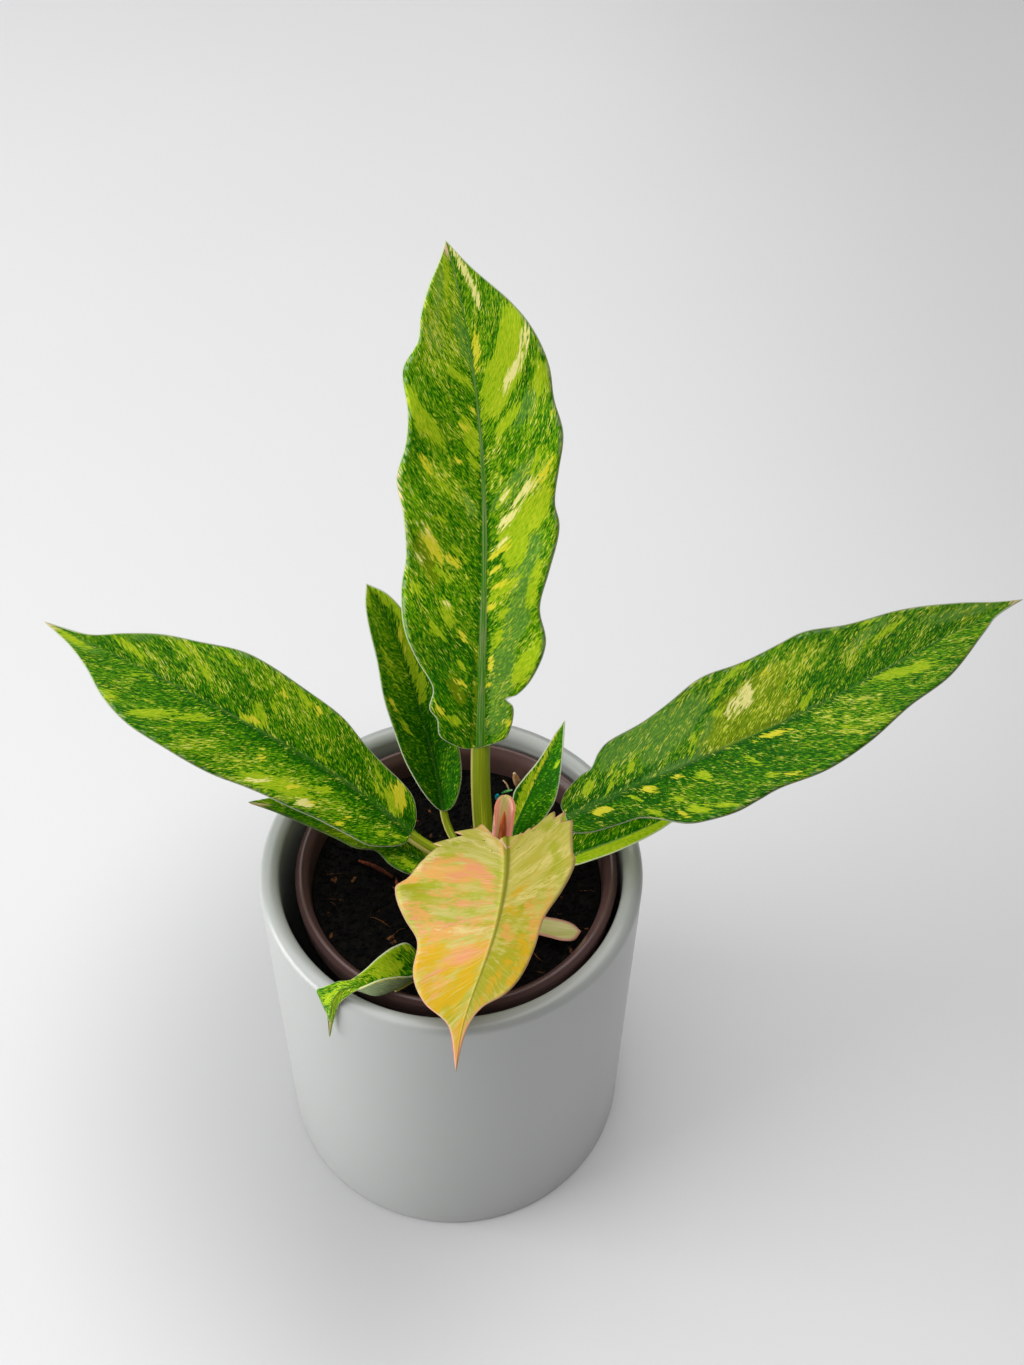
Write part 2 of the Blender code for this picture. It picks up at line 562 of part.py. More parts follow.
def make_blade(leaf, group):
    """Blade of even thickness."""
    blade = add_object(leaf.name, blade_mesh(leaf), group, leaf.colour)
    wall = blade.modifiers.new("thickness", 'SOLIDIFY')
    wall.thickness = BLADE_THICKNESS * MM
    wall.offset = 0.0
    return blade


def make_leaf(leaf, group, cutters, stem_cutter):
    """Blade joined with its stalk and rib, the stalk ending on the stem."""
    blade = make_blade(leaf, group)
    points, radii = stalk_path(leaf)
    stalk = tube_object(leaf.name + "_stalk", points, radii, cutters, leaf.colour)
    make_cutter(stalk)
    join_or_cut(blade, stalk, 'UNION')
    join_or_cut(blade, stem_cutter, 'DIFFERENCE')
    return blade


def main():
    clear_scene()
    group = make_collection("potted_philodendron")
    cutters = make_collection("cutters")
    make_cover_pot(group)
    make_nursery_pot(group, cutters)
    make_stem("stem", group)
    stem_cutter = make_stem("stem_seat", cutters, grow=SEAT)
    make_cutter(stem_cutter)
    make_soil(group, stem_cutter)
    for leaf in (*LEAVES, DRAPED):
        make_leaf(leaf, group, cutters, stem_cutter)
    make_blade(SHEATH, group)
    points = [ring[:3] for ring in ROLLED_LEAF]
    radii = [ring[3] for ring in ROLLED_LEAF]
    tube_object("rolled_leaf", points, radii, group, "bud_orange")


main()
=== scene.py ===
"""Young variegated philodendron in a nursery pot inside a glazed cover pot, dressed piece by piece.

Tables hold millimetres and degrees; meshes and settings hold metres. +Z is up and -Y is the viewer's side.
"""
import math
from dataclasses import dataclass

import bmesh
import bpy
import numpy as np
from bpy.props import FloatProperty, FloatVectorProperty, IntProperty, PointerProperty
from mathutils import Matrix, Vector, noise


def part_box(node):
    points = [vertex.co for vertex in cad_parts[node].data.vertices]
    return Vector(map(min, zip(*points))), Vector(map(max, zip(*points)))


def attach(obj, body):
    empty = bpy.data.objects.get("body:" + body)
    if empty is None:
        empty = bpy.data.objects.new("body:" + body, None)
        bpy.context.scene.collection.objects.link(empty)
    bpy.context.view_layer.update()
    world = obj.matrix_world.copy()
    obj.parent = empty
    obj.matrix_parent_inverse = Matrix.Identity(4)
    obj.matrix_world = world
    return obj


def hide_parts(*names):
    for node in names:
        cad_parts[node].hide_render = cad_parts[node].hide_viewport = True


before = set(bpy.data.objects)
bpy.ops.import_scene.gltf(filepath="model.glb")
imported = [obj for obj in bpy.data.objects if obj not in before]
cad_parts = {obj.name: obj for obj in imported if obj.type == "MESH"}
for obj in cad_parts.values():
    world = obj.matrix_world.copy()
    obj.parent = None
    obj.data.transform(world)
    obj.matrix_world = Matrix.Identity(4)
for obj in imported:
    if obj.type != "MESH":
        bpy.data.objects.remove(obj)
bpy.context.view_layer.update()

bl_info = {
    "name": "Potted Philodendron",
    "version": (1, 0, 0),
    "blender": (4, 5, 0),
    "location": "View3D > Sidebar > Philodendron",
    "description": "Builds a potted variegated philodendron piece by piece on its packed model",
    "category": "Object",
}

MM = 0.001
BODY = "root"
POT_LOW, POT_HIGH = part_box("cover_pot")

# Cover pot
POT_FLOOR = 8.0
POT_FLOOR_ROUND = 4.0
POT_FOOT_ROUND = 2.5

# Nursery pot
NURSERY_PLACE = (2.0, 2.6)
NURSERY_FOOT = 8.3
NURSERY_RIM_RADIUS = 64.5
NURSERY_RIM_HEIGHT = 166.3
NURSERY_BAND = 12.0
NURSERY_FOOT_RADIUS = 52.0
NURSERY_WALL = 1.6
NURSERY_THROAT = 58.8
DRAIN_HOLES = 6
DRAIN_RADIUS = 5.0
DRAIN_CIRCLE = 38.0

# Soil and stem
SOIL_LEVEL = 153.5
SOIL_LUMPS = ((0.55, 0.31, 0.4), (0.41, 0.52, 2.1), (0.32, 0.83, 4.4), (0.22, 1.17, 1.3))
STEM_PLACE = (15.0, -1.0)
STEM_PROFILE = ((6.0, 126.0), (7.6, 134.0), (8.6, 150.0), (8.4, 160.0), (7.6, 168.0), (7.2, 175.0),
                (6.4, 177.0))
SEAT = 0.3              # clearance of the peat in the pot and round the stem
SOIL_SIDES = 240
SOIL_RINGS = 64
SOIL_SINK = 0.6         # how far the peat sinks beside the stem and the pot
BED_SIDES = 72          # of the plain surface that crumbs and bark are scattered on
BED_RINGS = 22
BED_FROM_STEM = 10.0    # where that surface starts, from the stem's middle
BED_FROM_POT = 2.5      # and where it ends, from the nursery pot's wall
FIBRE_START = 52.0      # fibres start within this distance of the nursery pot's middle
FIBRE_REACH = 56.5      # and run no farther out than this
FIBRE_FROM_STEM = 12.0

# Bits on the peat: name, two colours, and lines of (x, y, z, radius)
BITS = (
    ("soil_husk", (190, 132, 80), (240, 212, 168),
     (((29.0, 50.6, 153.6, 0.9), (28.6, 50.6, 157.0, 1.7), (27.8, 50.8, 160.0, 1.3),
       (27.2, 51.2, 162.4, 0.5)),
      ((25.0, 49.0, 154.0, 0.3), (24.0, 50.0, 156.5, 0.4), (22.6, 51.2, 157.6, 0.2)))),
    ("soil_root", (70, 34, 22), (150, 74, 46),
     (((-38.0, 14.0, 154.0, 0.5), (-33.0, 10.6, 156.0, 0.9), (-29.0, 8.2, 156.0, 0.9),
       (-24.0, 5.2, 154.6, 0.6)),
      ((-22.6, 5.0, 154.0, 0.4), (-22.2, 0.0, 156.0, 0.7), (-21.6, -6.0, 154.6, 0.4)))),
    ("soil_bead", (0, 120, 132), (20, 176, 186),
     (((20.0, 43.6, 154.6, 0.9), (20.0, 43.8, 155.8, 1.1), (20.0, 44.0, 157.0, 0.6)),)),
    ("soil_sprout", (40, 120, 60), (120, 190, 110),
     (((22.0, 46.6, 154.6, 0.4), (24.0, 46.0, 156.6, 0.6), (26.4, 46.0, 157.4, 0.3)),)),
)

# Leaves
VEIN_LEAN = 0.7         # a row of the grid starts on the rib nearer the base by this share of its width
BASE_SPREAD = 0.08      # spreads the rows' starts along the rib a little, so that no two fall together
RIB_STEPS = 240
RIB_TIP_HALF = 0.35     # half width of the rib's upper face at the tip
RIB_END_RADIUS = 0.75   # of the rib's round underside where it ends
RIB_SINK = 0.95         # how far that underside's centre line lies below the blade, in its own radius
STALK_STEPS = 33        # points along the stalk, and again along the rib's underside
STALK_STRIPE = 0.45     # where the pale stripe runs, in turns round the stalk
VEIN_PITCH = 5.2        # from one side vein to the next
MARGIN_ROUND = 0.9      # distance from the margin at which the blade is at its full thickness
MARGIN_CALM = 2.5       # distance from the margin at which rib and veins are raised in full
HALF_SHIFT = 500.0      # parts the streaks of the right half from those of the left
PATCH_CORNERS = 2.4     # how square the ends of a painted patch are: 2 gives an ellipse
# Marks painted on the blades: "dark" is in part painted shade, in the valley beside the rib and over halves
# that lie in shade, and the grey mark is in part a painted sheen; the others are the blade's own colours and
# flecks.
MARKS = ("lime", "cream", "grey_and_sheen", "yellow", "pink", "peach", "olive", "flecky", "dark")

# Camera, as fitted to the photo
CAMERA_PLACE = (0.0, -0.3597, 0.6881)
CAMERA_YAW, CAMERA_PITCH, CAMERA_ROLL = 3.53, 48.65, 1.43


def tone(red, green, blue):
    """Linear colour from the 0 to 255 values that a colour picker shows."""
    return tuple(v / 12.92 if v <= 0.04045 else ((v + 0.055) / 1.055) ** 2.4
                 for v in (red / 255.0, green / 255.0, blue / 255.0))


def colour_setting(name, description, *shown):
    """Colour that a user may change."""
    return FloatVectorProperty(name=name, description=description, default=tone(*shown), size=3, min=0.0,
                               max=1.0, subtype='COLOR')


def length_setting(name, description, default, least=0.0):
    """Length that a user may change, in metres."""
    return FloatProperty(name=name, description=description, default=default, min=least, unit='LENGTH',
                         subtype='DISTANCE', precision=4)


def share_setting(name, description, default):
    """Value from 0 to 1 that a user may change."""
    return FloatProperty(name=name, description=description, default=default, min=0.0, max=1.0,
                         subtype='FACTOR')


# Settings

class PhilodendronCoverPot(bpy.types.PropertyGroup):
    """Glazed cover pot"""
    diameter: length_setting("Diameter", "Outside width of the pot", POT_HIGH[0] - POT_LOW[0], 0.02)
    height: length_setting("Height", "From the foot to the top of the lip", POT_HIGH[2] - POT_LOW[2], 0.02)
    wall: length_setting("Wall", "Thickness of the wall and of the round lip", 0.0078, 0.001)
    segments: IntProperty(name="Segments", description="Steps round the pot", default=192, min=24)
    glaze: colour_setting("Glaze", "Colour of the satin glaze", 180, 183, 180)
    gloss: share_setting("Glaze roughness", "Low is glossy, high is matt", 0.3)


class PhilodendronNurseryPot(bpy.types.PropertyGroup):
    """Plastic nursery pot"""
    segments: IntProperty(name="Segments", description="Steps round the pot", default=144, min=24)
    plastic: colour_setting("Plastic", "Colour of the moulded plastic", 96, 70, 68)
    dust: colour_setting("Dust", "Dried peat on the plastic", 104, 84, 70)


class PhilodendronSoil(bpy.types.PropertyGroup):
    """Peat and what lies on it"""
    peat: colour_setting("Peat", "Colour of the moist peat", 6, 7, 7)
    crumb: colour_setting("Crumbs", "Colour of the drier crumbs", 22, 18, 15)
    bark: colour_setting("Bark", "Colour of the bark and fibres", 134, 84, 48)
    crumbs: IntProperty(name="Crumbs", description="How many crumbs lie on the peat", default=2600, min=0)
    chips: IntProperty(name="Bark chips", description="How many chips of bark lie on the peat", default=46,
                       min=0)
    fibres: IntProperty(name="Fibres", description="How many fibres lie on the peat", default=44, min=0)
    seed: IntProperty(name="Seed", description="Changes where everything lies", default=7)


class PhilodendronLeaves(bpy.types.PropertyGroup):
    """Green leaves"""
    thickness: length_setting("Thickness", "Thickness of a blade between its veins", 0.0009, 0.0002)
    relief: length_setting("Relief", "Height of the swelling between two side veins", 0.00014)
    dark: colour_setting("Dark green", "Darkest green of the blade", 22, 88, 0)
    green: colour_setting("Green", "Main green of the blade", 58, 137, 0)
    lime: colour_setting("Lime", "Lime flecks and patches", 152, 194, 16)
    light: colour_setting("Light lime", "Palest lime of the flecks", 212, 220, 48)
    cream: colour_setting("Cream", "Cream flecks and patches", 255, 246, 160)
    # The grey sectors are in part a painted sheen.
    grey_and_sheen: colour_setting("Grey green", "Greyed sectors", 116, 162, 70)
    olive: colour_setting("Olive", "Olive sectors", 150, 160, 10)
    yellow: colour_setting("Yellow", "Yellow patches", 240, 226, 40)
    pink: colour_setting("Blush", "Creamy pink patches", 242, 208, 160)
    rib: colour_setting("Rib", "Upper face of the middle rib", 134, 152, 92)
    margin: colour_setting("Margin", "Thin edge of the blade", 206, 212, 176)
    under: colour_setting("Underside", "Underside of the blade", 200, 212, 170)
    stalk: colour_setting("Stalk", "Stalks of the leaves", 140, 158, 24)
    stripe: colour_setting("Stripe", "Pale stripe down each stalk", 226, 208, 124)


class PhilodendronNewLeaf(bpy.types.PropertyGroup):
    """Youngest open leaf, its sheath and the rolled leaf"""
    ground: colour_setting("Pale lime", "Main colour of the new leaf", 188, 180, 76)
    pale: colour_setting("Paler lime", "Streaks in the main colour", 204, 194, 112)
    cream: colour_setting("Cream", "Palest streaks", 226, 210, 140)
    gold: colour_setting("Gold", "Golden part of the new leaf", 212, 168, 14)
    peach: colour_setting("Peach", "Peach bands of the new leaf", 226, 166, 88)
    pink: colour_setting("Pink", "Pinkest streaks", 230, 152, 110)
    lime: colour_setting("Lime", "Lime streaks of the new leaf", 168, 176, 40)
    olive: colour_setting("Olive", "Olive part of the new leaf", 166, 166, 8)
    rib: colour_setting("Rib", "Rib of the new leaf", 128, 128, 24)
    margin: colour_setting("Margin", "Thin edge of the new leaf", 240, 176, 160)
    sheath: colour_setting("Sheath", "Bud sheath", 226, 218, 148)
    sheath_streak: colour_setting("Sheath streaks", "Streaks of the sheath", 204, 200, 112)
    sheath_edge: colour_setting("Sheath flanks", "Flanks and edge of the sheath", 240, 184, 164)
    rolled: colour_setting("Rolled leaf", "Leaf still rolled up", 196, 84, 40)
    rolled_streak: colour_setting("Rolled streaks", "Streaks of the rolled leaf", 214, 116, 62)
    scale_leaf: colour_setting("Scale leaf", "Pale leaf on the peat", 214, 206, 138)
    scale_streak: colour_setting("Scale streaks", "Streaks of the scale leaf", 196, 194, 104)
    scale_edge: colour_setting("Scale edge", "Edge of the scale leaf", 206, 150, 124)


class PhilodendronStage(bpy.types.PropertyGroup):
    """Floor, lights and camera"""
    floor: colour_setting("Floor", "Colour of the plain floor", 237, 237, 238)
    key: FloatProperty(name="Side light", description="Power of the soft light on the left", default=46.0,
                       min=0.0, unit='POWER')
    top: FloatProperty(name="Top light", description="Power of the soft light overhead", default=70.0,
                       min=0.0, unit='POWER')
    air: FloatProperty(name="Room light", description="Strength of the even light from all sides",
                       default=0.1, min=0.0)
    lens: FloatProperty(name="Lens", description="Focal length for a 36 mm sensor", default=41.58, min=1.0,
                        unit='CAMERA')


class PhilodendronSettings(bpy.types.PropertyGroup):
    """All settings of the plant"""
    cover_pot: PointerProperty(type=PhilodendronCoverPot)
    nursery_pot: PointerProperty(type=PhilodendronNurseryPot)
    soil: PointerProperty(type=PhilodendronSoil)
    leaves: PointerProperty(type=PhilodendronLeaves)
    new_leaf: PointerProperty(type=PhilodendronNewLeaf)
    stage: PointerProperty(type=PhilodendronStage)


# Meshes

def linked(name, data):
    """Object for a mesh, lamp or camera, put into the scene."""
    item = bpy.data.objects.new(name, data)
    bpy.context.scene.collection.objects.link(item)
    return item


def add_piece(name, mesh, material, slot, *nodes):
    """Object for a finished mesh that rides on the plant's body and stands for the named nodes.

    With None for its material the mesh keeps those that it has.
    """
    piece = linked(name, mesh)
    if material:
        mesh.materials.clear()
        mesh.materials.append(material)
    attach(piece, BODY)
    if nodes:
        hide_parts(*nodes)


def grid_faces(rows, columns, around=False):
    """Quads of a grid of points that is stored row by row; around joins the last column to the first."""
    faces = []
    for row in range(rows - 1):
        for column in range(columns if around else columns - 1):
            following = (column + 1) % columns
            a, b = row * columns + column, row * columns + following
            faces.append((a, b, b + columns, a + columns))
    return faces


def build_mesh(name, points, faces, merge=0.0, attributes=()):
    """Smooth mesh from points in millimetres, with named values on its points."""
    mesh = bpy.data.meshes.new(name)
    mesh.from_pydata((np.asarray(points) * MM).tolist(), [], faces)
    for label, kind, values in attributes:
        layer = mesh.attributes.new(label, kind, 'POINT')
        field = "value" if kind == 'FLOAT' else "vector"
        layer.data.foreach_set(field, np.ascontiguousarray(values, dtype=np.float32).ravel())
    if merge:
        bm = bmesh.new()
        bm.from_mesh(mesh)
        bmesh.ops.remove_doubles(bm, verts=bm.verts, dist=merge * MM)
        bmesh.ops.dissolve_degenerate(bm, edges=bm.edges, dist=merge * MM)
        bm.to_mesh(mesh)
        bm.free()
    mesh.shade_smooth()
    return mesh


def joined(name, meshes):
    """One mesh out of several, their named values kept."""
    holders = [linked(name, mesh) for mesh in meshes]
    with bpy.context.temp_override(active_object=holders[0], selected_editable_objects=holders,
                                   selected_objects=holders, object=holders[0]):
        bpy.ops.object.join()
    mesh = holders[0].data
    bpy.data.objects.remove(holders[0], do_unlink=True)
    mesh.name = name
    return mesh


def arc(centre, radius, start, end, steps):
    """Points on an arc of a profile; angles in degrees from +X, towards +Z."""
    return [(centre[0] + radius * math.cos(a), centre[1] + radius * math.sin(a))
            for a in np.radians(np.linspace(start, end, steps + 1))]


def unit_circle(count):
    """Points (x, y) round a circle of radius one."""
    turns = np.linspace(0.0, math.tau, count, endpoint=False)
    return np.stack([np.cos(turns), np.sin(turns)], axis=-1)


def stacked(rings):
    """Points of rings of (x, y), each with one height or with a height for each of its points."""
    return np.concatenate([np.column_stack([ring, np.broadcast_to(height, len(ring))])
                           for ring, height in rings])


def turned_mesh(name, profile, segments, place=(0.0, 0.0)):
    """Closed shell turned about a vertical axis; the profile of (radius, height) runs up the inside."""
    circle = unit_circle(segments)
    points = stacked([(np.array(place) + radius * circle, height) for radius, height in profile])
    mesh = build_mesh(name, points, grid_faces(len(profile), segments, around=True), merge=0.002)
    face_outwards(mesh)
    return mesh


def face_outwards(mesh):
    """Turn a closed shell's faces so that they all look out."""
    bm = bmesh.new()
    bm.from_mesh(mesh)
    bmesh.ops.recalc_face_normals(bm, faces=bm.faces)
    bm.to_mesh(mesh)
    bm.free()


# Geometry nodes

def built_once(build):
    """Have a tree built at the first call only, and found by the function's name after that."""
    def found():
        return bpy.data.node_groups.get(build.__name__) or build()
    return found


def new_tree(name, *inputs):
    """Geometry tree with named inputs; also gives its inputs' sockets and its output node."""
    tree = bpy.data.node_groups.new(name, 'GeometryNodeTree')
    tree.interface.new_socket("Geometry", in_out='INPUT', socket_type='NodeSocketGeometry')
    for label, kind in inputs:
        tree.interface.new_socket(label, in_out='INPUT', socket_type='NodeSocket' + kind)
    tree.interface.new_socket("Geometry", in_out='OUTPUT', socket_type='NodeSocketGeometry')
    return tree, tree.nodes.new('NodeGroupInput').outputs, tree.nodes.new('NodeGroupOutput')


def link_chain(tree, given, *nodes):
    """Join the tree's geometry from node to node, then make it real and give it its material."""
    real = tree.nodes.new('GeometryNodeRealizeInstances')
    finish = tree.nodes.new('GeometryNodeSetMaterial')
    tree.links.new(given["Material"], finish.inputs["Material"])
    socket = given["Geometry"]
    for node in (*nodes[:-1], real, finish, nodes[-1]):
        tree.links.new(socket, next(s for s in node.inputs if s.type == 'GEOMETRY'))
        socket = next((s for s in node.outputs if s.type == 'GEOMETRY'), None)


def named_value(tree, label):
    """Reads a named value of the geometry."""
    node = tree.nodes.new('GeometryNodeInputNamedAttribute')
    node.inputs["Name"].default_value = label
    return node.outputs["Attribute"]


def store_value(tree, label, value):
    """Node that keeps a value on the geometry's points under a name."""
    node = tree.nodes.new('GeometryNodeStoreNamedAttribute')
    node.inputs["Name"].default_value = label
    tree.links.new(value, node.inputs["Value"])
    return node


@built_once
def round_tubes():
    """Round tubes along lines; each point's "radius" gives the tube's radius there."""
    tree, given, result = new_tree("round_tubes", ("Sides", 'Int'), ("Material", 'Material'))
    to_curve = tree.nodes.new('GeometryNodeMeshToCurve')
    thick = tree.nodes.new('GeometryNodeSetCurveRadius')
    tree.links.new(named_value(tree, "radius"), thick.inputs["Radius"])
    along = tree.nodes.new('GeometryNodeSplineParameter')
    keep_run = store_value(tree, "run", along.outputs["Length"])
    circle = tree.nodes.new('GeometryNodeCurvePrimitiveCircle')
    circle.inputs["Radius"].default_value = 1.0
    tree.links.new(given["Sides"], circle.inputs["Resolution"])
    round_way = tree.nodes.new('GeometryNodeSplineParameter')
    keep_turn = store_value(tree, "around", round_way.outputs["Factor"])
    tree.links.new(circle.outputs["Curve"], keep_turn.inputs["Geometry"])
    sweep = tree.nodes.new('GeometryNodeCurveToMesh')
    sweep.inputs["Fill Caps"].default_value = True
    if "Scale" in sweep.inputs:
        tree.links.new(named_value(tree, "radius"), sweep.inputs["Scale"])
    tree.links.new(keep_turn.outputs["Geometry"], sweep.inputs["Profile Curve"])
    smooth = tree.nodes.new('GeometryNodeSetShadeSmooth')
    link_chain(tree, given, to_curve, thick, keep_run, sweep, smooth, result)
    return tree


@built_once
def scattered_bits():
    """Copies of one shape scattered over a surface, each turned and sized at random from the seed."""
    tree, given, result = new_tree(
        "scattered_bits", ("Shape", 'Object'), ("Density", 'Float'), ("Smallest", 'Float'),
        ("Largest", 'Float'), ("Tilt", 'Float'), ("Seed", 'Int'), ("Material", 'Material'))
    spread = tree.nodes.new('GeometryNodeDistributePointsOnFaces')
    shape = tree.nodes.new('GeometryNodeObjectInfo')
    turn = tree.nodes.new('FunctionNodeRandomValue')
    turn.data_type = 'FLOAT_VECTOR'
    spin = tree.nodes.new('ShaderNodeCombineXYZ')
    spin.inputs["Z"].default_value = math.tau
    size = tree.nodes.new('FunctionNodeRandomValue')
    place = tree.nodes.new('GeometryNodeInstanceOnPoints')
    for output, entry in (
            (given["Density"], spread.inputs["Density"]), (given["Seed"], spread.inputs["Seed"]),
            (given["Shape"], shape.inputs["Object"]), (given["Tilt"], spin.inputs["X"]),
            (given["Tilt"], spin.inputs["Y"]), (spin.outputs["Vector"], turn.inputs["Max"]),
            (given["Seed"], turn.inputs["Seed"]), (given["Smallest"], size.inputs[2]),
            (given["Largest"], size.inputs[3]), (given["Seed"], size.inputs["Seed"]),
            (shape.outputs["Geometry"], place.inputs["Instance"]),
            (turn.outputs[0], place.inputs["Rotation"]), (size.outputs[1], place.inputs["Scale"])):
        tree.links.new(output, entry)
    link_chain(tree, given, spread, place, result)
    return tree


def grown(name, mesh, tree, **values):
    """Plain mesh that a geometry tree makes from a starting mesh."""
    holder = linked(name, mesh)
    step = holder.modifiers.new("grow", 'NODES')
    step.node_group = tree
    for item in tree.interface.items_tree:
        if item.in_out == 'INPUT' and item.name in values:
            step[item.identifier] = values[item.name]
    evaluated = holder.evaluated_get(bpy.context.evaluated_depsgraph_get())
    result = bpy.data.meshes.new_from_object(evaluated)
    holder.modifiers.clear()
    bpy.data.objects.remove(holder, do_unlink=True)
    result.name = name
    if not len(result.polygons):
        raise RuntimeError(f"{name}: the geometry tree gave no faces")
    return result


def tubes(name, lines, material, sides=16):
    """Tubes along lines of (x, y, z, radius) in millimetres."""
    points, edges, radii = [], [], []
    for line in lines:
        first = len(points)
        points += [tuple(v * MM for v in spot[:3]) for spot in line]
        radii += [spot[3] * MM for spot in line]
        edges += [(k, k + 1) for k in range(first, len(points) - 1)]
    mesh = bpy.data.meshes.new(name + "_lines")
    mesh.from_pydata(points, edges, [])
    mesh.attributes.new("radius", 'FLOAT', 'POINT').data.foreach_set("value", radii)
    result = grown(name, mesh, round_tubes(), Sides=sides, Material=material)
    face_outwards(result)
    result.shade_smooth()
    return result


# Shader helpers

class Shader:
    """Writes a shader tree: each call adds one node and gives its output."""

    def __init__(self, tree):
        self.tree = tree

    def node(self, kind, **settings):
        """Node with its settings."""
        made = self.tree.nodes.new(kind)
        for key, value in settings.items():
            setattr(made, key, value)
        return made

    def feed(self, socket, value):
        """Link a socket to an output, or set it to a plain value."""
        if isinstance(value, bpy.types.NodeSocket):
            self.tree.links.new(value, socket)
        elif hasattr(value, "__len__"):
            socket.default_value = (*value, 1.0)[:len(socket.default_value)]
        else:
            socket.default_value = value

    def value(self, label):
        """Named value on the mesh's points."""
        return self.node('ShaderNodeAttribute', attribute_name=label).outputs["Fac"]

    def vector(self, label):
        """Named vector on the mesh's points."""
        return self.node('ShaderNodeAttribute', attribute_name=label).outputs["Vector"]

    def object_place(self):
        """Object coordinates."""
        return self.node('ShaderNodeTexCoord').outputs["Object"]

    def math(self, operation, *values):
        """Result of one operation."""
        made = self.node('ShaderNodeMath', operation=operation)
        for socket, value in zip(made.inputs, values):
            self.feed(socket, value)
        return made.outputs[0]

    def share_of(self, mask, share):
        """Mask at less than its full strength."""
        return self.math('MULTIPLY', mask, share)

    def total(self, start, *parts):
        """Start plus each pattern's distance from a half times its weight."""
        for value, weight in parts:
            start = self.math('MULTIPLY_ADD', self.math('SUBTRACT', value, 0.5), weight, start)
        return start

    def split(self, vector):
        """Three parts of a vector."""
        made = self.node('ShaderNodeSeparateXYZ')
        self.feed(made.inputs[0], vector)
        return made.outputs

    def join(self, x, y, z=0.0):
        """Vector from three parts."""
        made = self.node('ShaderNodeCombineXYZ')
        for socket, value in zip(made.inputs, (x, y, z)):
            self.feed(socket, value)
        return made.outputs[0]

    def scaled(self, vector, scale):
        """Vector times a plain (x, y, z)."""
        made = self.node('ShaderNodeVectorMath', operation='MULTIPLY')
        self.feed(made.inputs[0], vector)
        self.feed(made.inputs[1], scale)
        return made.outputs[0]

    def noise(self, vector, scale, detail=2.0, roughness=0.5):
        """Cloudy pattern from 0 to 1."""
        made = self.node('ShaderNodeTexNoise')
        self.feed(made.inputs["Vector"], vector)
        for label, value in (("Scale", scale), ("Detail", detail), ("Roughness", roughness)):
            self.feed(made.inputs[label], value)
        return made.outputs[0]

    def step(self, value, low, high, to_low=0.0, to_high=1.0):
        """Soft step of a value between two levels."""
        made = self.node('ShaderNodeMapRange', interpolation_type='SMOOTHSTEP')
        for socket, part in zip(made.inputs, (value, low, high, to_low, to_high)):
            self.feed(socket, part)
        return made.outputs[0]

    def mix(self, share, first, second, blend='MIX'):
        """Blend of two colours."""
        made = self.node('ShaderNodeMix', data_type='RGBA', blend_type=blend)
        self.feed(made.inputs[0], share)
        self.feed(made.inputs[6], first)
        self.feed(made.inputs[7], second)
        return made.outputs[2]

    def blend(self, share, first, second):
        """Blend of two values."""
        made = self.node('ShaderNodeMix')
        for k, value in zip((0, 2, 3), (share, first, second)):
            self.feed(made.inputs[k], value)
        return made.outputs[0]

    def ramp(self, value, *stops):
        """Colour picked by a value from stops of (level, colour)."""
        made = self.node('ShaderNodeValToRGB')
        row = made.color_ramp.elements
        for spot, (level, colour) in zip((row[1], row[0]), (stops[-1], stops[0])):
            spot.position, spot.color = level, (*colour[:3], 1.0)
        for level, colour in stops[1:-1]:
            row.new(level).color = (*colour[:3], 1.0)
        self.feed(made.inputs[0], value)
        return made.outputs[0]

    def group(self, tree, **values):
        """Placed copy of a shader node group; its outputs by name."""
        made = self.node('ShaderNodeGroup', node_tree=tree)
        for label, value in values.items():
            self.feed(made.inputs[label.replace("_", " ")], value)
        return made.outputs

    def bump(self, height, distance, strength=1.0):
        """Normal raised by a height."""
        made = self.node('ShaderNodeBump')
        self.feed(made.inputs["Height"], height)
        made.inputs["Distance"].default_value = distance
        made.inputs["Strength"].default_value = strength
        return made.outputs[0]


def new_group(name, inputs, outputs):
    """Shader node group with named sockets, and a writer for it."""
    tree = bpy.data.node_groups.new(name, 'ShaderNodeTree')
    for label, kind in inputs:
        tree.interface.new_socket(label, in_out='INPUT', socket_type='NodeSocket' + kind)
    for label, kind in outputs:
        tree.interface.new_socket(label, in_out='OUTPUT', socket_type='NodeSocket' + kind)
    return tree, Shader(tree), tree.nodes.new('NodeGroupInput').outputs, \
        tree.nodes.new('NodeGroupOutput').inputs


def new_material(name, roughness, writer=Shader, **plain):
    """Material with its Principled shader, and a writer for its tree."""
    material = bpy.data.materials.new(name)
    material.use_nodes = True
    surface = material.node_tree.nodes["Principled BSDF"]
    surface.inputs["Roughness"].default_value = roughness
    for label, value in plain.items():
        surface.inputs[label.replace("_", " ")].default_value = value
    return material, writer(material.node_tree), surface.inputs


@built_once
def vein_flecks():
    """Cloud drawn out along the side veins."""
    tree, write, given, result = new_group(
        "vein_flecks", (("Veins", 'Vector'), ("Width", 'Float'), ("Length", 'Float'), ("Seed", 'Float')),
        (("Cloud", 'Float'),))
    across, out, _ = write.split(given["Veins"])
    sway = write.join(write.share_of(across, 0.12), write.share_of(out, 0.12), given["Seed"])
    sway = write.noise(sway, 1.0, 2.0)
    across = write.total(across, (sway, 3.0))
    spot = write.join(write.math('DIVIDE', across, given["Width"]),
                      write.math('DIVIDE', out, given["Length"]), given["Seed"])
    write.feed(result["Cloud"], write.noise(spot, 1.0, 2.5, 0.6))
    return tree


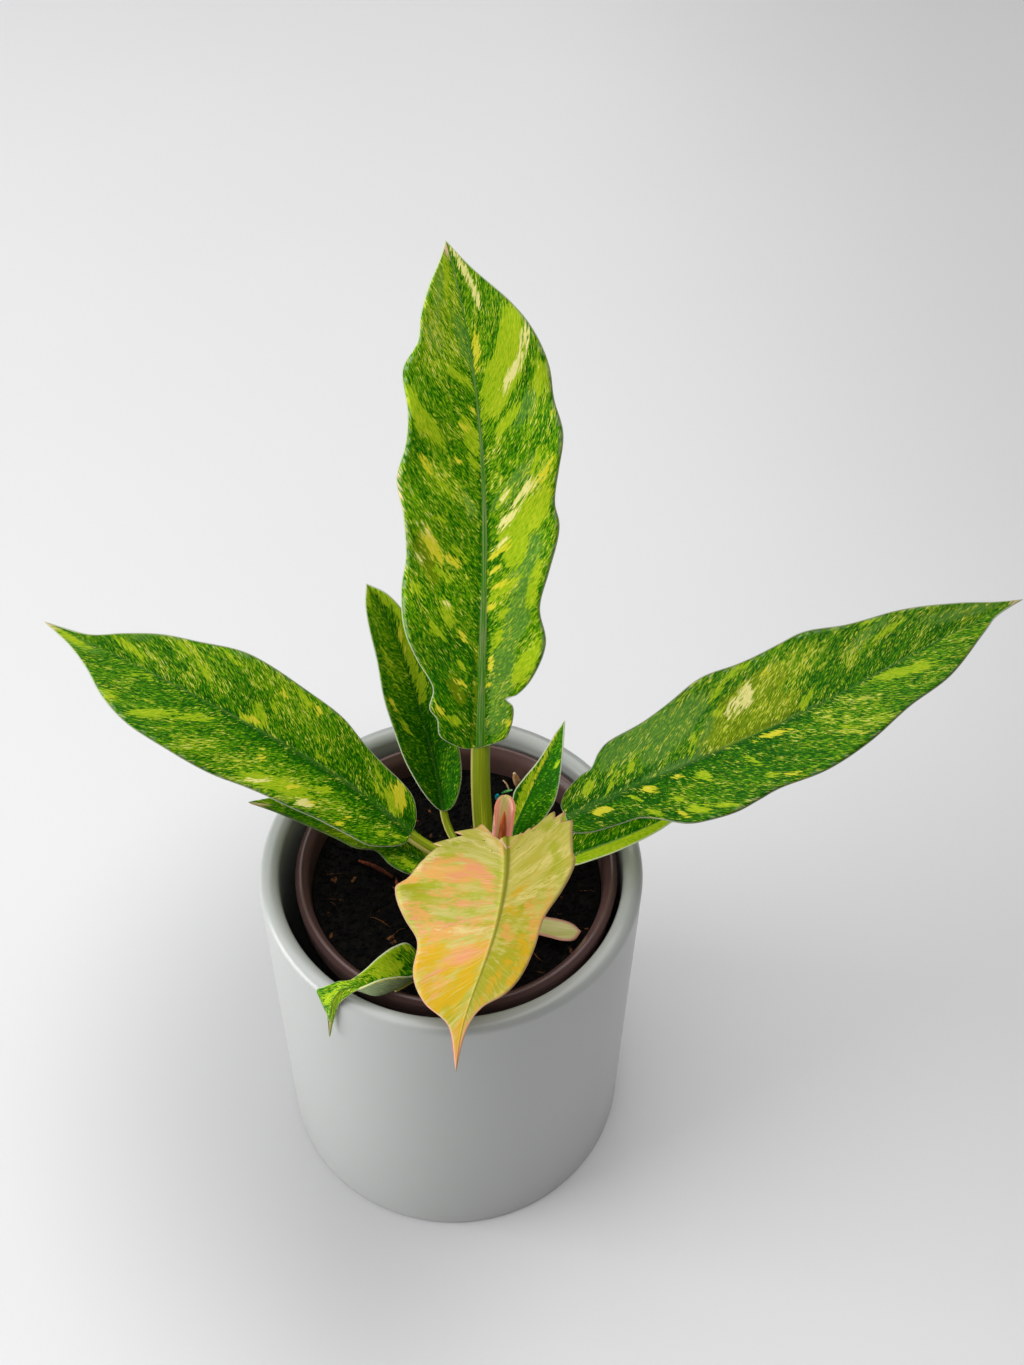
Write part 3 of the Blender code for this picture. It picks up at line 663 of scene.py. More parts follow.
@built_once
def streaked_patch():
    """Painted patch whose edge breaks up into streaks along the veins."""
    tree, write, given, result = new_group(
        "streaked_patch", (("Patch", 'Float'), ("Veins", 'Vector'), ("Breakup", 'Float'),
                           ("Softness", 'Float'), ("Seed", 'Float')), (("Mask", 'Float'),))
    coarse = write.group(vein_flecks(), Veins=given["Veins"], Width=1.7, Length=8.0, Seed=given["Seed"])
    fine = write.group(vein_flecks(), Veins=given["Veins"], Width=0.6, Length=3.2,
                       Seed=write.math('ADD', given["Seed"], 31.0))
    rough = write.total(0.0, (coarse["Cloud"], 2.2), (fine["Cloud"], 1.7))
    value = write.math('MULTIPLY_ADD', rough, given["Breakup"], given["Patch"])
    edge = write.step(value, write.math('SUBTRACT', 0.5, given["Softness"]),
                      write.math('ADD', 0.5, given["Softness"]))
    write.feed(result["Mask"], write.math('MULTIPLY', edge, write.step(given["Patch"], 0.02, 0.15)))
    return tree


@built_once
def fine_grain():
    """Even clouds for plastic and floor, and a grainy height for the bump."""
    tree, write, given, result = new_group(
        "fine_grain", (("Place", 'Vector'), ("Grain", 'Float'), ("Clouds", 'Float')),
        (("Cloud", 'Float'), ("Height", 'Float')))
    cloud = write.noise(given["Place"], given["Clouds"], 3.0, 0.55)
    grain = write.noise(given["Place"], given["Grain"], 2.0, 0.6)
    write.feed(result["Cloud"], cloud)
    write.feed(result["Height"], write.math('MULTIPLY_ADD', grain, 0.35, cloud))
    return tree


@built_once
def crumbly_mottle():
    """Mottled crumbs of two colours with dusty specks, and a coarse height for the bump."""
    tree, write, given, result = new_group(
        "crumbly_mottle", (("Place", 'Vector'), ("Dark", 'Color'), ("Light", 'Color')),
        (("Colour", 'Color'), ("Height", 'Float')))
    cloud = write.noise(given["Place"], 260.0, 4.0, 0.65)
    fine = write.noise(given["Place"], 1300.0, 3.0, 0.6)
    colour = write.mix(write.step(cloud, 0.42, 0.62), given["Dark"], given["Light"])
    specks = write.share_of(write.step(fine, 0.62, 0.74), 0.4)
    write.feed(result["Colour"], write.mix(specks, colour, tone(60, 46, 34)))
    write.feed(result["Height"], fine)
    return tree


@built_once
def skin_streaks():
    """Streaks of a second colour on a plain skin, and their height for the bump."""
    tree, write, given, result = new_group(
        "skin_streaks", (("Place", 'Vector'), ("Scale", 'Float'), ("Main", 'Color'), ("Second", 'Color')),
        (("Colour", 'Color'), ("Height", 'Float')))
    streaks = write.noise(given["Place"], given["Scale"], 3.0)
    write.feed(result["Colour"], write.mix(write.step(streaks, 0.4, 0.65), given["Main"], given["Second"]))
    write.feed(result["Height"], streaks)
    return tree


# Leaf shapes

def smooth_row(values, places):
    """Smooth values (a Catmull-Rom row) at places from 0, the first value, to 1, the last."""
    values = np.asarray(values, float)
    last = len(values) - 1
    padded = np.concatenate([[2 * values[0] - values[1]], values, [2 * values[-1] - values[-2]]])
    spot = np.clip(np.asarray(places, float), 0.0, 1.0) * last
    index = np.minimum(spot.astype(int), last - 1)
    t = spot - index
    if values.ndim == 2:
        t = t[..., None]
    a, b, c, d = (padded[index + k] for k in range(4))
    cubic = (3 * b - a - 3 * c + d) * t ** 3
    return 0.5 * (2 * b + (c - a) * t + (2 * a - 5 * b + 4 * c - d) * t ** 2 + cubic)


def compass(heading, pitch):
    """Unit directions from turns from +X and rises above level, in degrees."""
    heading, pitch = np.radians(heading), np.radians(pitch)
    return np.stack([np.cos(heading) * np.cos(pitch), np.sin(heading) * np.cos(pitch),
                     np.sin(pitch) + 0.0 * heading], axis=-1)


def unit(vectors):
    """Vectors of length one."""
    return vectors / np.maximum(np.linalg.norm(vectors, axis=-1, keepdims=True), 1e-12)


def calm(edge):
    """Margin with its teeth evened out, for the inside of the blade."""
    even = edge.copy()
    even[1:-1] = 0.25 * edge[:-2] + 0.5 * edge[1:-1] + 0.25 * edge[2:]
    return even


@dataclass
class Leaf:
    """One leaf grown as one piece: stalk, rib and blade.

    headings and pitches are the rib's compass turn from +X and its rise above level, evenly spaced from
    base to tip. A margin is a row of points (along the rib, away from it). left is the half on the left
    hand when looking from base to tip on the upper face.
    """
    name: str
    slot: str
    foot: float                     # height at which the stalk leaves the stem's axis
    launch: float                   # and its rise there
    base: tuple                     # where the blade starts
    length: float
    headings: tuple
    pitches: tuple
    left: tuple
    right: tuple
    stalk: tuple                    # radii of the stalk at its foot and at the blade
    neck: tuple = ()                # turn and rise with which the stalk meets a blade that bends away
    rolls: tuple = (0.0, 0.0)       # tilt of the blade about its rib, at the base and at the tip
    folds: tuple = (15.0, 15.0)     # how steeply the left and the right half rise from the rib
    curl: float = 0.0               # how much farther each half has turned up where it is widest
    wave: tuple = (0.0, 40.0)       # height, 25 mm out, and length of the waves of the margin
    rib_share: float = 0.3          # share of the blade along which the rib's underside stands out
    rib_width: float = 1.6          # half width of the rib's upper face at the base
    rib_light: float = 0.2          # how much the rib stands out from the green
    lean: tuple = (1.1, 0.012)      # slant of the streaks beside the rib, and how it grows outwards
    fan: tuple = ()                 # for each half: pace at which streaks fan out, and where they run square
    pale: float = 0.48              # how pale the mottled ground is on the whole
    flecks: float = 0.61            # level of the cloud from which it shows as a fleck: high gives fewer
    shade: float = 0.0              # painted shade: how much darker the whole blade is made than the other leaves'
    painted_glow: float = 0.0               # painted glow: the blade emits light, standing in for light that comes through the thin blade
    blur: float = 1.5               # half width of the ragged edge of a painted patch

    def direction(self, shares):
        """Way the rib runs."""
        inside = np.clip(shares, 0.0, 1.0)
        return compass(smooth_row(self.headings, inside), smooth_row(self.pitches, inside))

    def upward(self, shares):
        """Way the upper face looks."""
        inside = np.clip(shares, 0.0, 1.0)
        level = compass(smooth_row(self.headings, inside) + 90.0, 0.0 * inside)
        up = np.cross(self.direction(inside), level)
        roll = np.radians(self.rolls[0] + (self.rolls[1] - self.rolls[0]) * inside)[..., None]
        return up * np.cos(roll) - level * np.sin(roll)

    def rib_point(self, shares):
        """Points of the rib, straight on past its two ends."""
        shares = np.asarray(shares, float)
        inside = np.clip(shares, 0.0, 1.0)
        steps = self.direction((np.arange(RIB_STEPS) + 0.5) / RIB_STEPS) * self.length / RIB_STEPS
        table = np.vstack([self.base, np.asarray(self.base) + np.cumsum(steps, axis=0)])
        known = np.linspace(0.0, 1.0, RIB_STEPS + 1)
        point = np.stack([np.interp(inside, known, table[:, k]) for k in range(3)], axis=-1)
        return point + (shares - inside)[..., None] * self.length * self.direction(inside)

    def rib_half(self, along):
        """Half width of the rib's upper face."""
        share = np.clip(along / self.length, 0.0, 1.0)
        return RIB_TIP_HALF + (self.rib_width - RIB_TIP_HALF) * (1.0 - share) ** 1.6

    def flat_grid(self, fine, columns):
        """Along, across and share for a grid with the rib in its middle column."""
        known = np.linspace(0.0, 1.0, len(self.left))
        rows = np.linspace(0.0, 1.0, (len(self.left) - 1) * fine + 1)
        reach = BASE_SPREAD * self.length * known
        raw = {1: np.array(self.left, float), -1: np.array(self.right, float)}
        if len(self.right) != len(self.left):
            raw[-1] = smooth_row(self.right, known)
        for edge in raw.values():
            reach = reach + 0.5 * np.maximum.accumulate(np.maximum(edge[:, 0] - VEIN_LEAN * edge[:, 1], 0.0))
        reach = reach * self.length / reach[-1]
        nearest = np.minimum(raw[1][:, 0], raw[-1][:, 0])
        starts = np.interp(rows, known, np.where(known > 0.5, np.minimum(reach, nearest), reach))
        shares = (np.arange(columns + 1) / columns) ** 1.35
        shares = np.concatenate([-shares[:0:-1], shares])
        along = np.zeros((len(rows), len(shares)))
        across = np.zeros_like(along)
        self.outline = []
        for side, edge in raw.items():
            sharp, even = smooth_row(edge, rows), smooth_row(calm(edge), rows)
            self.outline.append(sharp * (1.0, side))
            own = (shares >= 0.0) if side > 0 else (shares < 0.0)
            part = np.abs(shares[own])
            margin = even[:, None] + (sharp - even)[:, None] * (part ** 3)[None, :, None]
            along[:, own] = starts[:, None] + (margin[..., 0] - starts[:, None]) * part
            across[:, own] = side * np.maximum(margin[..., 1], 0.0) * part
        return along, across, shares

    def bent(self, along, across):
        """Places on the bent blade of points on the flat one."""
        share = along / self.length
        up = self.upward(share)
        side = np.where(across >= 0.0, 1.0, -1.0)
        out = np.abs(across) + 1e-6
        outward = unit(np.cross(up, self.direction(share))) * side[..., None]
        fold = np.radians(np.where(across >= 0.0, self.folds[0], self.folds[1]))
        widest = max(width for _, width in self.left + self.right)
        turn = np.radians(self.curl) * out / widest + 1e-6
        sideways = out * (np.sin(fold + turn) - np.sin(fold)) / turn
        rise = out * (np.cos(fold) - np.cos(fold + turn)) / turn
        soft = self.rib_half(along)
        rise = rise * (np.sqrt(out ** 2 + soft ** 2) - soft) / out
        height, length = self.wave
        phase = np.where(across >= 0.0, 0.0, 1.9)
        rise = rise + height * np.sin(math.tau * along / length + phase) * (out / 25.0) ** 2
        return self.rib_point(share) + outward * sideways[..., None] + up * rise[..., None]


@dataclass
class DrapedLeaf(Leaf):
    """A leaf twisted too far for one fold: rib and both margins are points in space, base to tip."""
    rib: tuple = ()
    step: float = 5.4               # of the flat stand-in, from one row to the next
    half: float = 9.0               # half width of the flat stand-in

    def direction(self, shares):
        """Way the rib runs."""
        return unit(smooth_row(self.rib, np.minimum(shares + 0.02, 1.0))
                    - smooth_row(self.rib, np.minimum(shares, 0.98)))

    def upward(self, shares):
        """Way the upper face looks."""
        span = smooth_row(self.left, shares + 0.1) - smooth_row(self.right, shares + 0.1)
        return unit(np.cross(self.direction(shares), span))

    def rib_point(self, shares):
        """Points of the rib."""
        return smooth_row(self.rib, shares)

    def flat_grid(self, fine, columns):
        """Along, across and share for a grid with the rib in its middle column."""
        rows = np.linspace(0.0, 1.0, (len(self.rib) - 1) * fine + 1)
        shares = (np.arange(columns + 1) / columns) ** 1.2
        shares = np.concatenate([-shares[:0:-1], shares])
        along = np.repeat(rows[:, None] * (len(self.rib) - 1) * self.step, len(shares), axis=1)
        across = np.repeat(shares[None, :] * self.half, len(rows), axis=0)
        self.outline = [np.stack([along[:, 0], 0.0 * along[:, 0] + side * self.half], axis=-1)
                        for side in (1, -1)]
        return along, across, shares

    def bent(self, along, across):
        """Places in space of points on the flat stand-in."""
        share = along / self.step / (len(self.rib) - 1)
        margin = np.where((across >= 0.0)[..., None], smooth_row(self.left, share),
                          smooth_row(self.right, share))
        part = (np.abs(across) / self.half)[..., None]
        rib = self.rib_point(share)
        return rib + (margin - rib) * part


LEAVES = (
    Leaf("leaf_tall", "leaf_green", foot=157.0, launch=50.0, base=(12.0, 23.0, 214.5), length=191.0,
         headings=(86, 86, 98, 113), pitches=(70, 62, 54, 49), folds=(14, 12), curl=-4.0,
         wave=(1.4, 40.0), stalk=(4.3, 3.7), rib_share=0.55, rib_width=2.0, rib_light=0.9,
         pale=0.465, painted_glow=0.05,
         left=((0, 0), (0, 6), (2.5, 11), (7, 16), (14, 17), (19, 20), (27, 18.8), (38, 24.5), (52, 29.5),
               (66, 31), (80, 29.2), (95, 30), (109, 32), (122, 28.2), (134, 26.5), (149, 26.3),
               (158.5, 19.3), (167, 16.8), (176.5, 11.5), (185, 4.5), (191, 0)),
         right=((0, 0), (3, 6), (6, 10.2), (13, 12.4), (19.5, 12.5), (22.8, 9.5), (25, 14), (33, 19.5),
                (47, 24), (60, 21.2), (74, 24), (89, 27.5), (98, 26), (109, 27.5), (121, 29.5),
                (132, 27.8), (143, 27.5), (155, 23.5), (166, 17.4), (180, 6.5), (191, 0))),
    Leaf("leaf_left", "leaf_green", foot=161.0, launch=44.0, base=(-15.5, 3.5, 186.5), length=162.0,
         headings=(162.5, 166, 163, 160.5), pitches=(48.5, 35.5, 26, 18), rolls=(-16, -16),
         folds=(14, 16), curl=-4.0, wave=(0.8, 46.0), stalk=(2.9, 2.4), rib_share=0.5, pale=0.435,
         left=((0, 0), (0, 3.5), (2, 7), (7, 11.5), (16, 17), (26, 18.7), (40, 20.5), (53, 22.7), (70, 24),
               (85, 25.8), (100, 25.7), (117, 23.4), (130, 17.8), (140, 10.2), (150, 4.4), (162, 0)),
         right=((0, 0), (1, 4), (4, 8), (9, 11.6), (16, 13.3), (26, 14.4), (37, 16.5), (50, 20.5),
                (66, 22.5), (82, 23.4), (95, 22.7), (109, 18.8), (122, 14.8), (134, 9), (146, 2.6),
                (162, 0))),
    Leaf("leaf_right", "leaf_green", foot=160.0, launch=50.0, base=(44.5, 2.0, 196.2), length=195.0,
         headings=(6.5, 9, 21, 23), pitches=(31.5, 24.5, 17.5, 7), rolls=(14, 14), folds=(16, 14),
         curl=-4.0, wave=(1.0, 52.0), stalk=(3.2, 2.8), rib_share=0.5, shade=0.27, pale=0.425, flecks=0.6,
         left=((0, 0), (0, 5.5), (4, 9.7), (12, 12.7), (17, 13.5), (22, 17.8), (28, 20.5), (42, 22),
               (55, 24.5), (70, 28), (85, 27.7), (104, 27.3), (115, 26.5), (130, 21.8), (150, 17.3),
               (172, 9), (184, 3.8), (195, 0)),
         right=((0, 0), (1, 7), (8, 11), (20, 13), (28, 14), (35, 17.7), (45, 24.8), (53, 27.2),
                (63, 27.9), (72, 26.4), (81, 25.3), (97, 26.8), (113, 24), (132, 18.6), (152, 15.5),
                (173, 6), (182, 1.8), (195, 0))),
    Leaf("leaf_back", "leaf_green", foot=156.0, launch=22.0, base=(-3.0, 25.0, 171.5), length=103.0,
         headings=(105.5, 115.5, 126.5, 141), pitches=(63.5, 62, 58.5, 54), rolls=(-20, -20),
         folds=(34, 34), wave=(0.5, 40.0), stalk=(1.8, 1.6), rib_share=0.25, rib_width=1.0, pale=0.435,
         flecks=0.66,
         left=((0, 0), (2, 2.5), (8, 6), (17, 9.5), (30, 13), (45, 14.6), (60, 15), (74, 12.6), (88, 10),
               (97, 6.2), (103, 0)),
         right=((0, 0), (2, 4.5), (8, 9), (18, 12.8), (30, 14), (45, 13.2), (60, 11.7), (74, 10.5),
                (87, 8.5), (96, 5.5), (103, 0))),
    Leaf("leaf_small", "leaf_green", foot=162.0, launch=40.0, base=(23.5, 9.0, 174.5), length=59.0,
         headings=(43, 39, 36.5, 39.5), pitches=(64, 62.5, 62, 65.5), rolls=(12, 12), folds=(46, 22),
         stalk=(2.0, 1.7), rib_share=0.25, rib_width=0.9, pale=0.40, flecks=0.67, painted_glow=0.12,
         left=((0, 0), (5.5, 2.3), (12.5, 4.4), (18, 6), (22.5, 6.7), (29, 5.4), (36.5, 3.5), (44, 2.5),
               (52.5, 1.6), (59, 0)),
         right=((0, 0), (4, 4), (11, 8.6), (17.5, 11.6), (24.5, 13), (30, 13.3), (37, 11.4), (46, 6.9),
                (53, 3), (59, 0))),
    Leaf("leaf_low_left", "leaf_green", foot=155.6, launch=14.0, base=(-9.5, 0.0, 170.5), length=76.0,
         headings=(163, 168.5, 174, 179), pitches=(33.5, 27.5, 20, 11), rolls=(-6, -6), folds=(25, 25),
         wave=(0.5, 30.0), stalk=(1.9, 1.6), rib_share=0.25, rib_width=1.0,
         left=((0, 0), (2, 7), (8, 11.5), (16, 11.8), (23, 8), (32, 11.5), (39, 10.6), (47, 9), (56, 6.7),
               (65, 3.7), (76, 0)),
         right=((0, 0), (1, 4.5), (6, 8), (14, 10), (22, 11), (32, 11), (40, 10), (48, 8.6), (57, 6.4),
                (66, 3.4), (76, 0))),
    Leaf("leaf_low_right", "leaf_green", foot=155.8, launch=22.0, base=(43.0, 0.0, 170.7), length=62.0,
         headings=(2, 7.5, 15.5, 24.5), pitches=(24.5, 23, 20, 15), folds=(32, 32), stalk=(2.0, 1.8),
         rib_share=0.25, rib_width=1.0, rib_light=0.7, painted_glow=0.3,
         left=((0, 0), (2, 5), (8, 8.6), (16, 9.3), (26, 9.8), (35, 9.8), (44, 8.5), (53, 5.3), (62, 0)),
         right=((0, 0), (1, 6), (7, 8.8), (15, 9.2), (23, 9.2), (32, 8.2), (41, 6.6), (51, 3.2),
                (62, 0))),
    DrapedLeaf("leaf_front", "leaf_green", foot=157.0, launch=10.0, base=(-9.5, -43, 162.5), length=60.0,
               headings=(), pitches=(), stalk=(1.8, 1.4), rib_share=0.2, rib_width=0.8,
               rib=((-9.5, -43, 162.5), (-15.5, -49, 166), (-22, -55, 169), (-28.5, -60, 173.5),
                    (-34, -60.5, 177.5), (-38, -60, 179), (-41.6, -60.2, 178), (-44.2, -61.5, 174.5),
                    (-45.7, -63, 168), (-46.8, -62.5, 159), (-47.6, -63, 148.5)),
               left=((-9.5, -43, 162.5), (-15.5, -51, 171), (-21, -54.5, 177), (-27, -58.5, 182),
                     (-32.5, -60.5, 181), (-36.8, -61.5, 178.5), (-40.5, -62.5, 175.5),
                     (-42.5, -63, 172.5), (-44, -63.5, 167), (-45.5, -63, 160), (-47.6, -63, 148.5)),
               right=((-9.5, -43, 162.5), (-16.5, -37, 171), (-22, -40, 175), (-27.5, -46, 178),
                      (-33, -53, 180), (-38, -57, 180), (-42.7, -57, 179), (-48, -57.5, 176.5),
                      (-51, -57, 173), (-48, -61.5, 166), (-47.6, -63, 148.5))),
)

NEW_LEAF = Leaf(
    "leaf_new", "leaf_yellow", foot=158.0, launch=36.0, neck=(-75.0, 80.0),
    base=(21.0, -16.5, 202.5), length=90.0,
    headings=(-90, -104, -116, -98), pitches=(17.5, -9, -30, -54), rolls=(20, 16), folds=(16, 12),
    wave=(0.9, 34.0), stalk=(3.0, 2.4), rib_share=0.5, rib_width=1.7, blur=2.4,
    fan=((0.02, 35.0), (0.04, 22.0)),
    left=((0, 0), (-2.5, 4.5), (-6, 6.3), (-3.2, 8), (-5.8, 10.2), (-3.4, 12), (-5, 14.5),
          (-7.3, 20), (-7, 21.9), (-1.4, 22.4), (-3.2, 26.8), (2.2, 24.8), (4, 29.2), (8, 29), (14, 29),
          (18, 30), (25, 25.5), (33, 20.3), (42, 20.4), (50, 19), (57, 14.5), (64, 6.2), (73, 1.9),
          (90, 0)),
    right=((0, 0), (-6.5, 2.7), (-11, 5.5), (-18, 8.6), (-18.9, 9.8), (-17, 12), (-17, 16.5),
           (-16.6, 20.2), (-13.6, 17.2), (-13, 20), (-11.7, 26), (-10.4, 28.3), (-7.4, 25.6), (-6.5, 27),
           (0, 31.3), (11, 37.5), (17, 42), (27, 40), (41, 34.5), (50, 27.8), (62, 24), (69.5, 16.5),
           (75, 4.7), (90, 0)))

SCALE_LEAF = Leaf(
    "scale_leaf", "leaf_pale", foot=156.2, launch=4.0, base=(26.5, -19.5, 157.6), length=25.0,
    headings=(-34, -18, -7.5, -0.5), pitches=(6.5, 4.5, 0, -4), folds=(18, 18), stalk=(1.3, 1.3),
    rib_share=0.3, rib_width=0.6,
    left=((0, 0), (0, 3.4), (4, 4.7), (12, 4.8), (18, 4.2), (22, 2.8), (25, 0)),
    right=((0, 0), (1, 3.4), (6, 4), (13, 5), (18, 6.2), (22, 5.4), (25, 0)))

SHEATH = Leaf(
    "bud_sheath", "sheath_pink", foot=0.0, launch=0.0, base=(19.1, 4.2, 177.6), length=30.0,
    headings=(30, 30, 30, 30), pitches=(86, 86, 86, 88), rolls=(62, 62), folds=(4, 4), curl=116.0,
    stalk=(0.0, 0.0), rib_width=0.5, lean=(0.0, 0.0),
    left=((0, 0), (0.2, 4), (1.2, 7), (9, 7.8), (17, 7.7), (22, 6.8), (26, 5), (29, 2.6), (30, 0)),
    right=((0, 0), (0.2, 4), (1.2, 7), (9, 7.8), (17, 7.8), (23, 7.2), (27, 5.4), (29.4, 2.8), (30, 0)))

ROLLED_LEAF = ((19.4, 0.6, 177.5, 1.6), (19.7, 0.5, 184.0, 1.7), (20.0, 0.4, 191.0, 1.6),
               (20.2, 0.3, 196.5, 1.3), (20.4, 0.2, 200.5, 0.8), (20.5, 0.2, 203.5, 0.3))
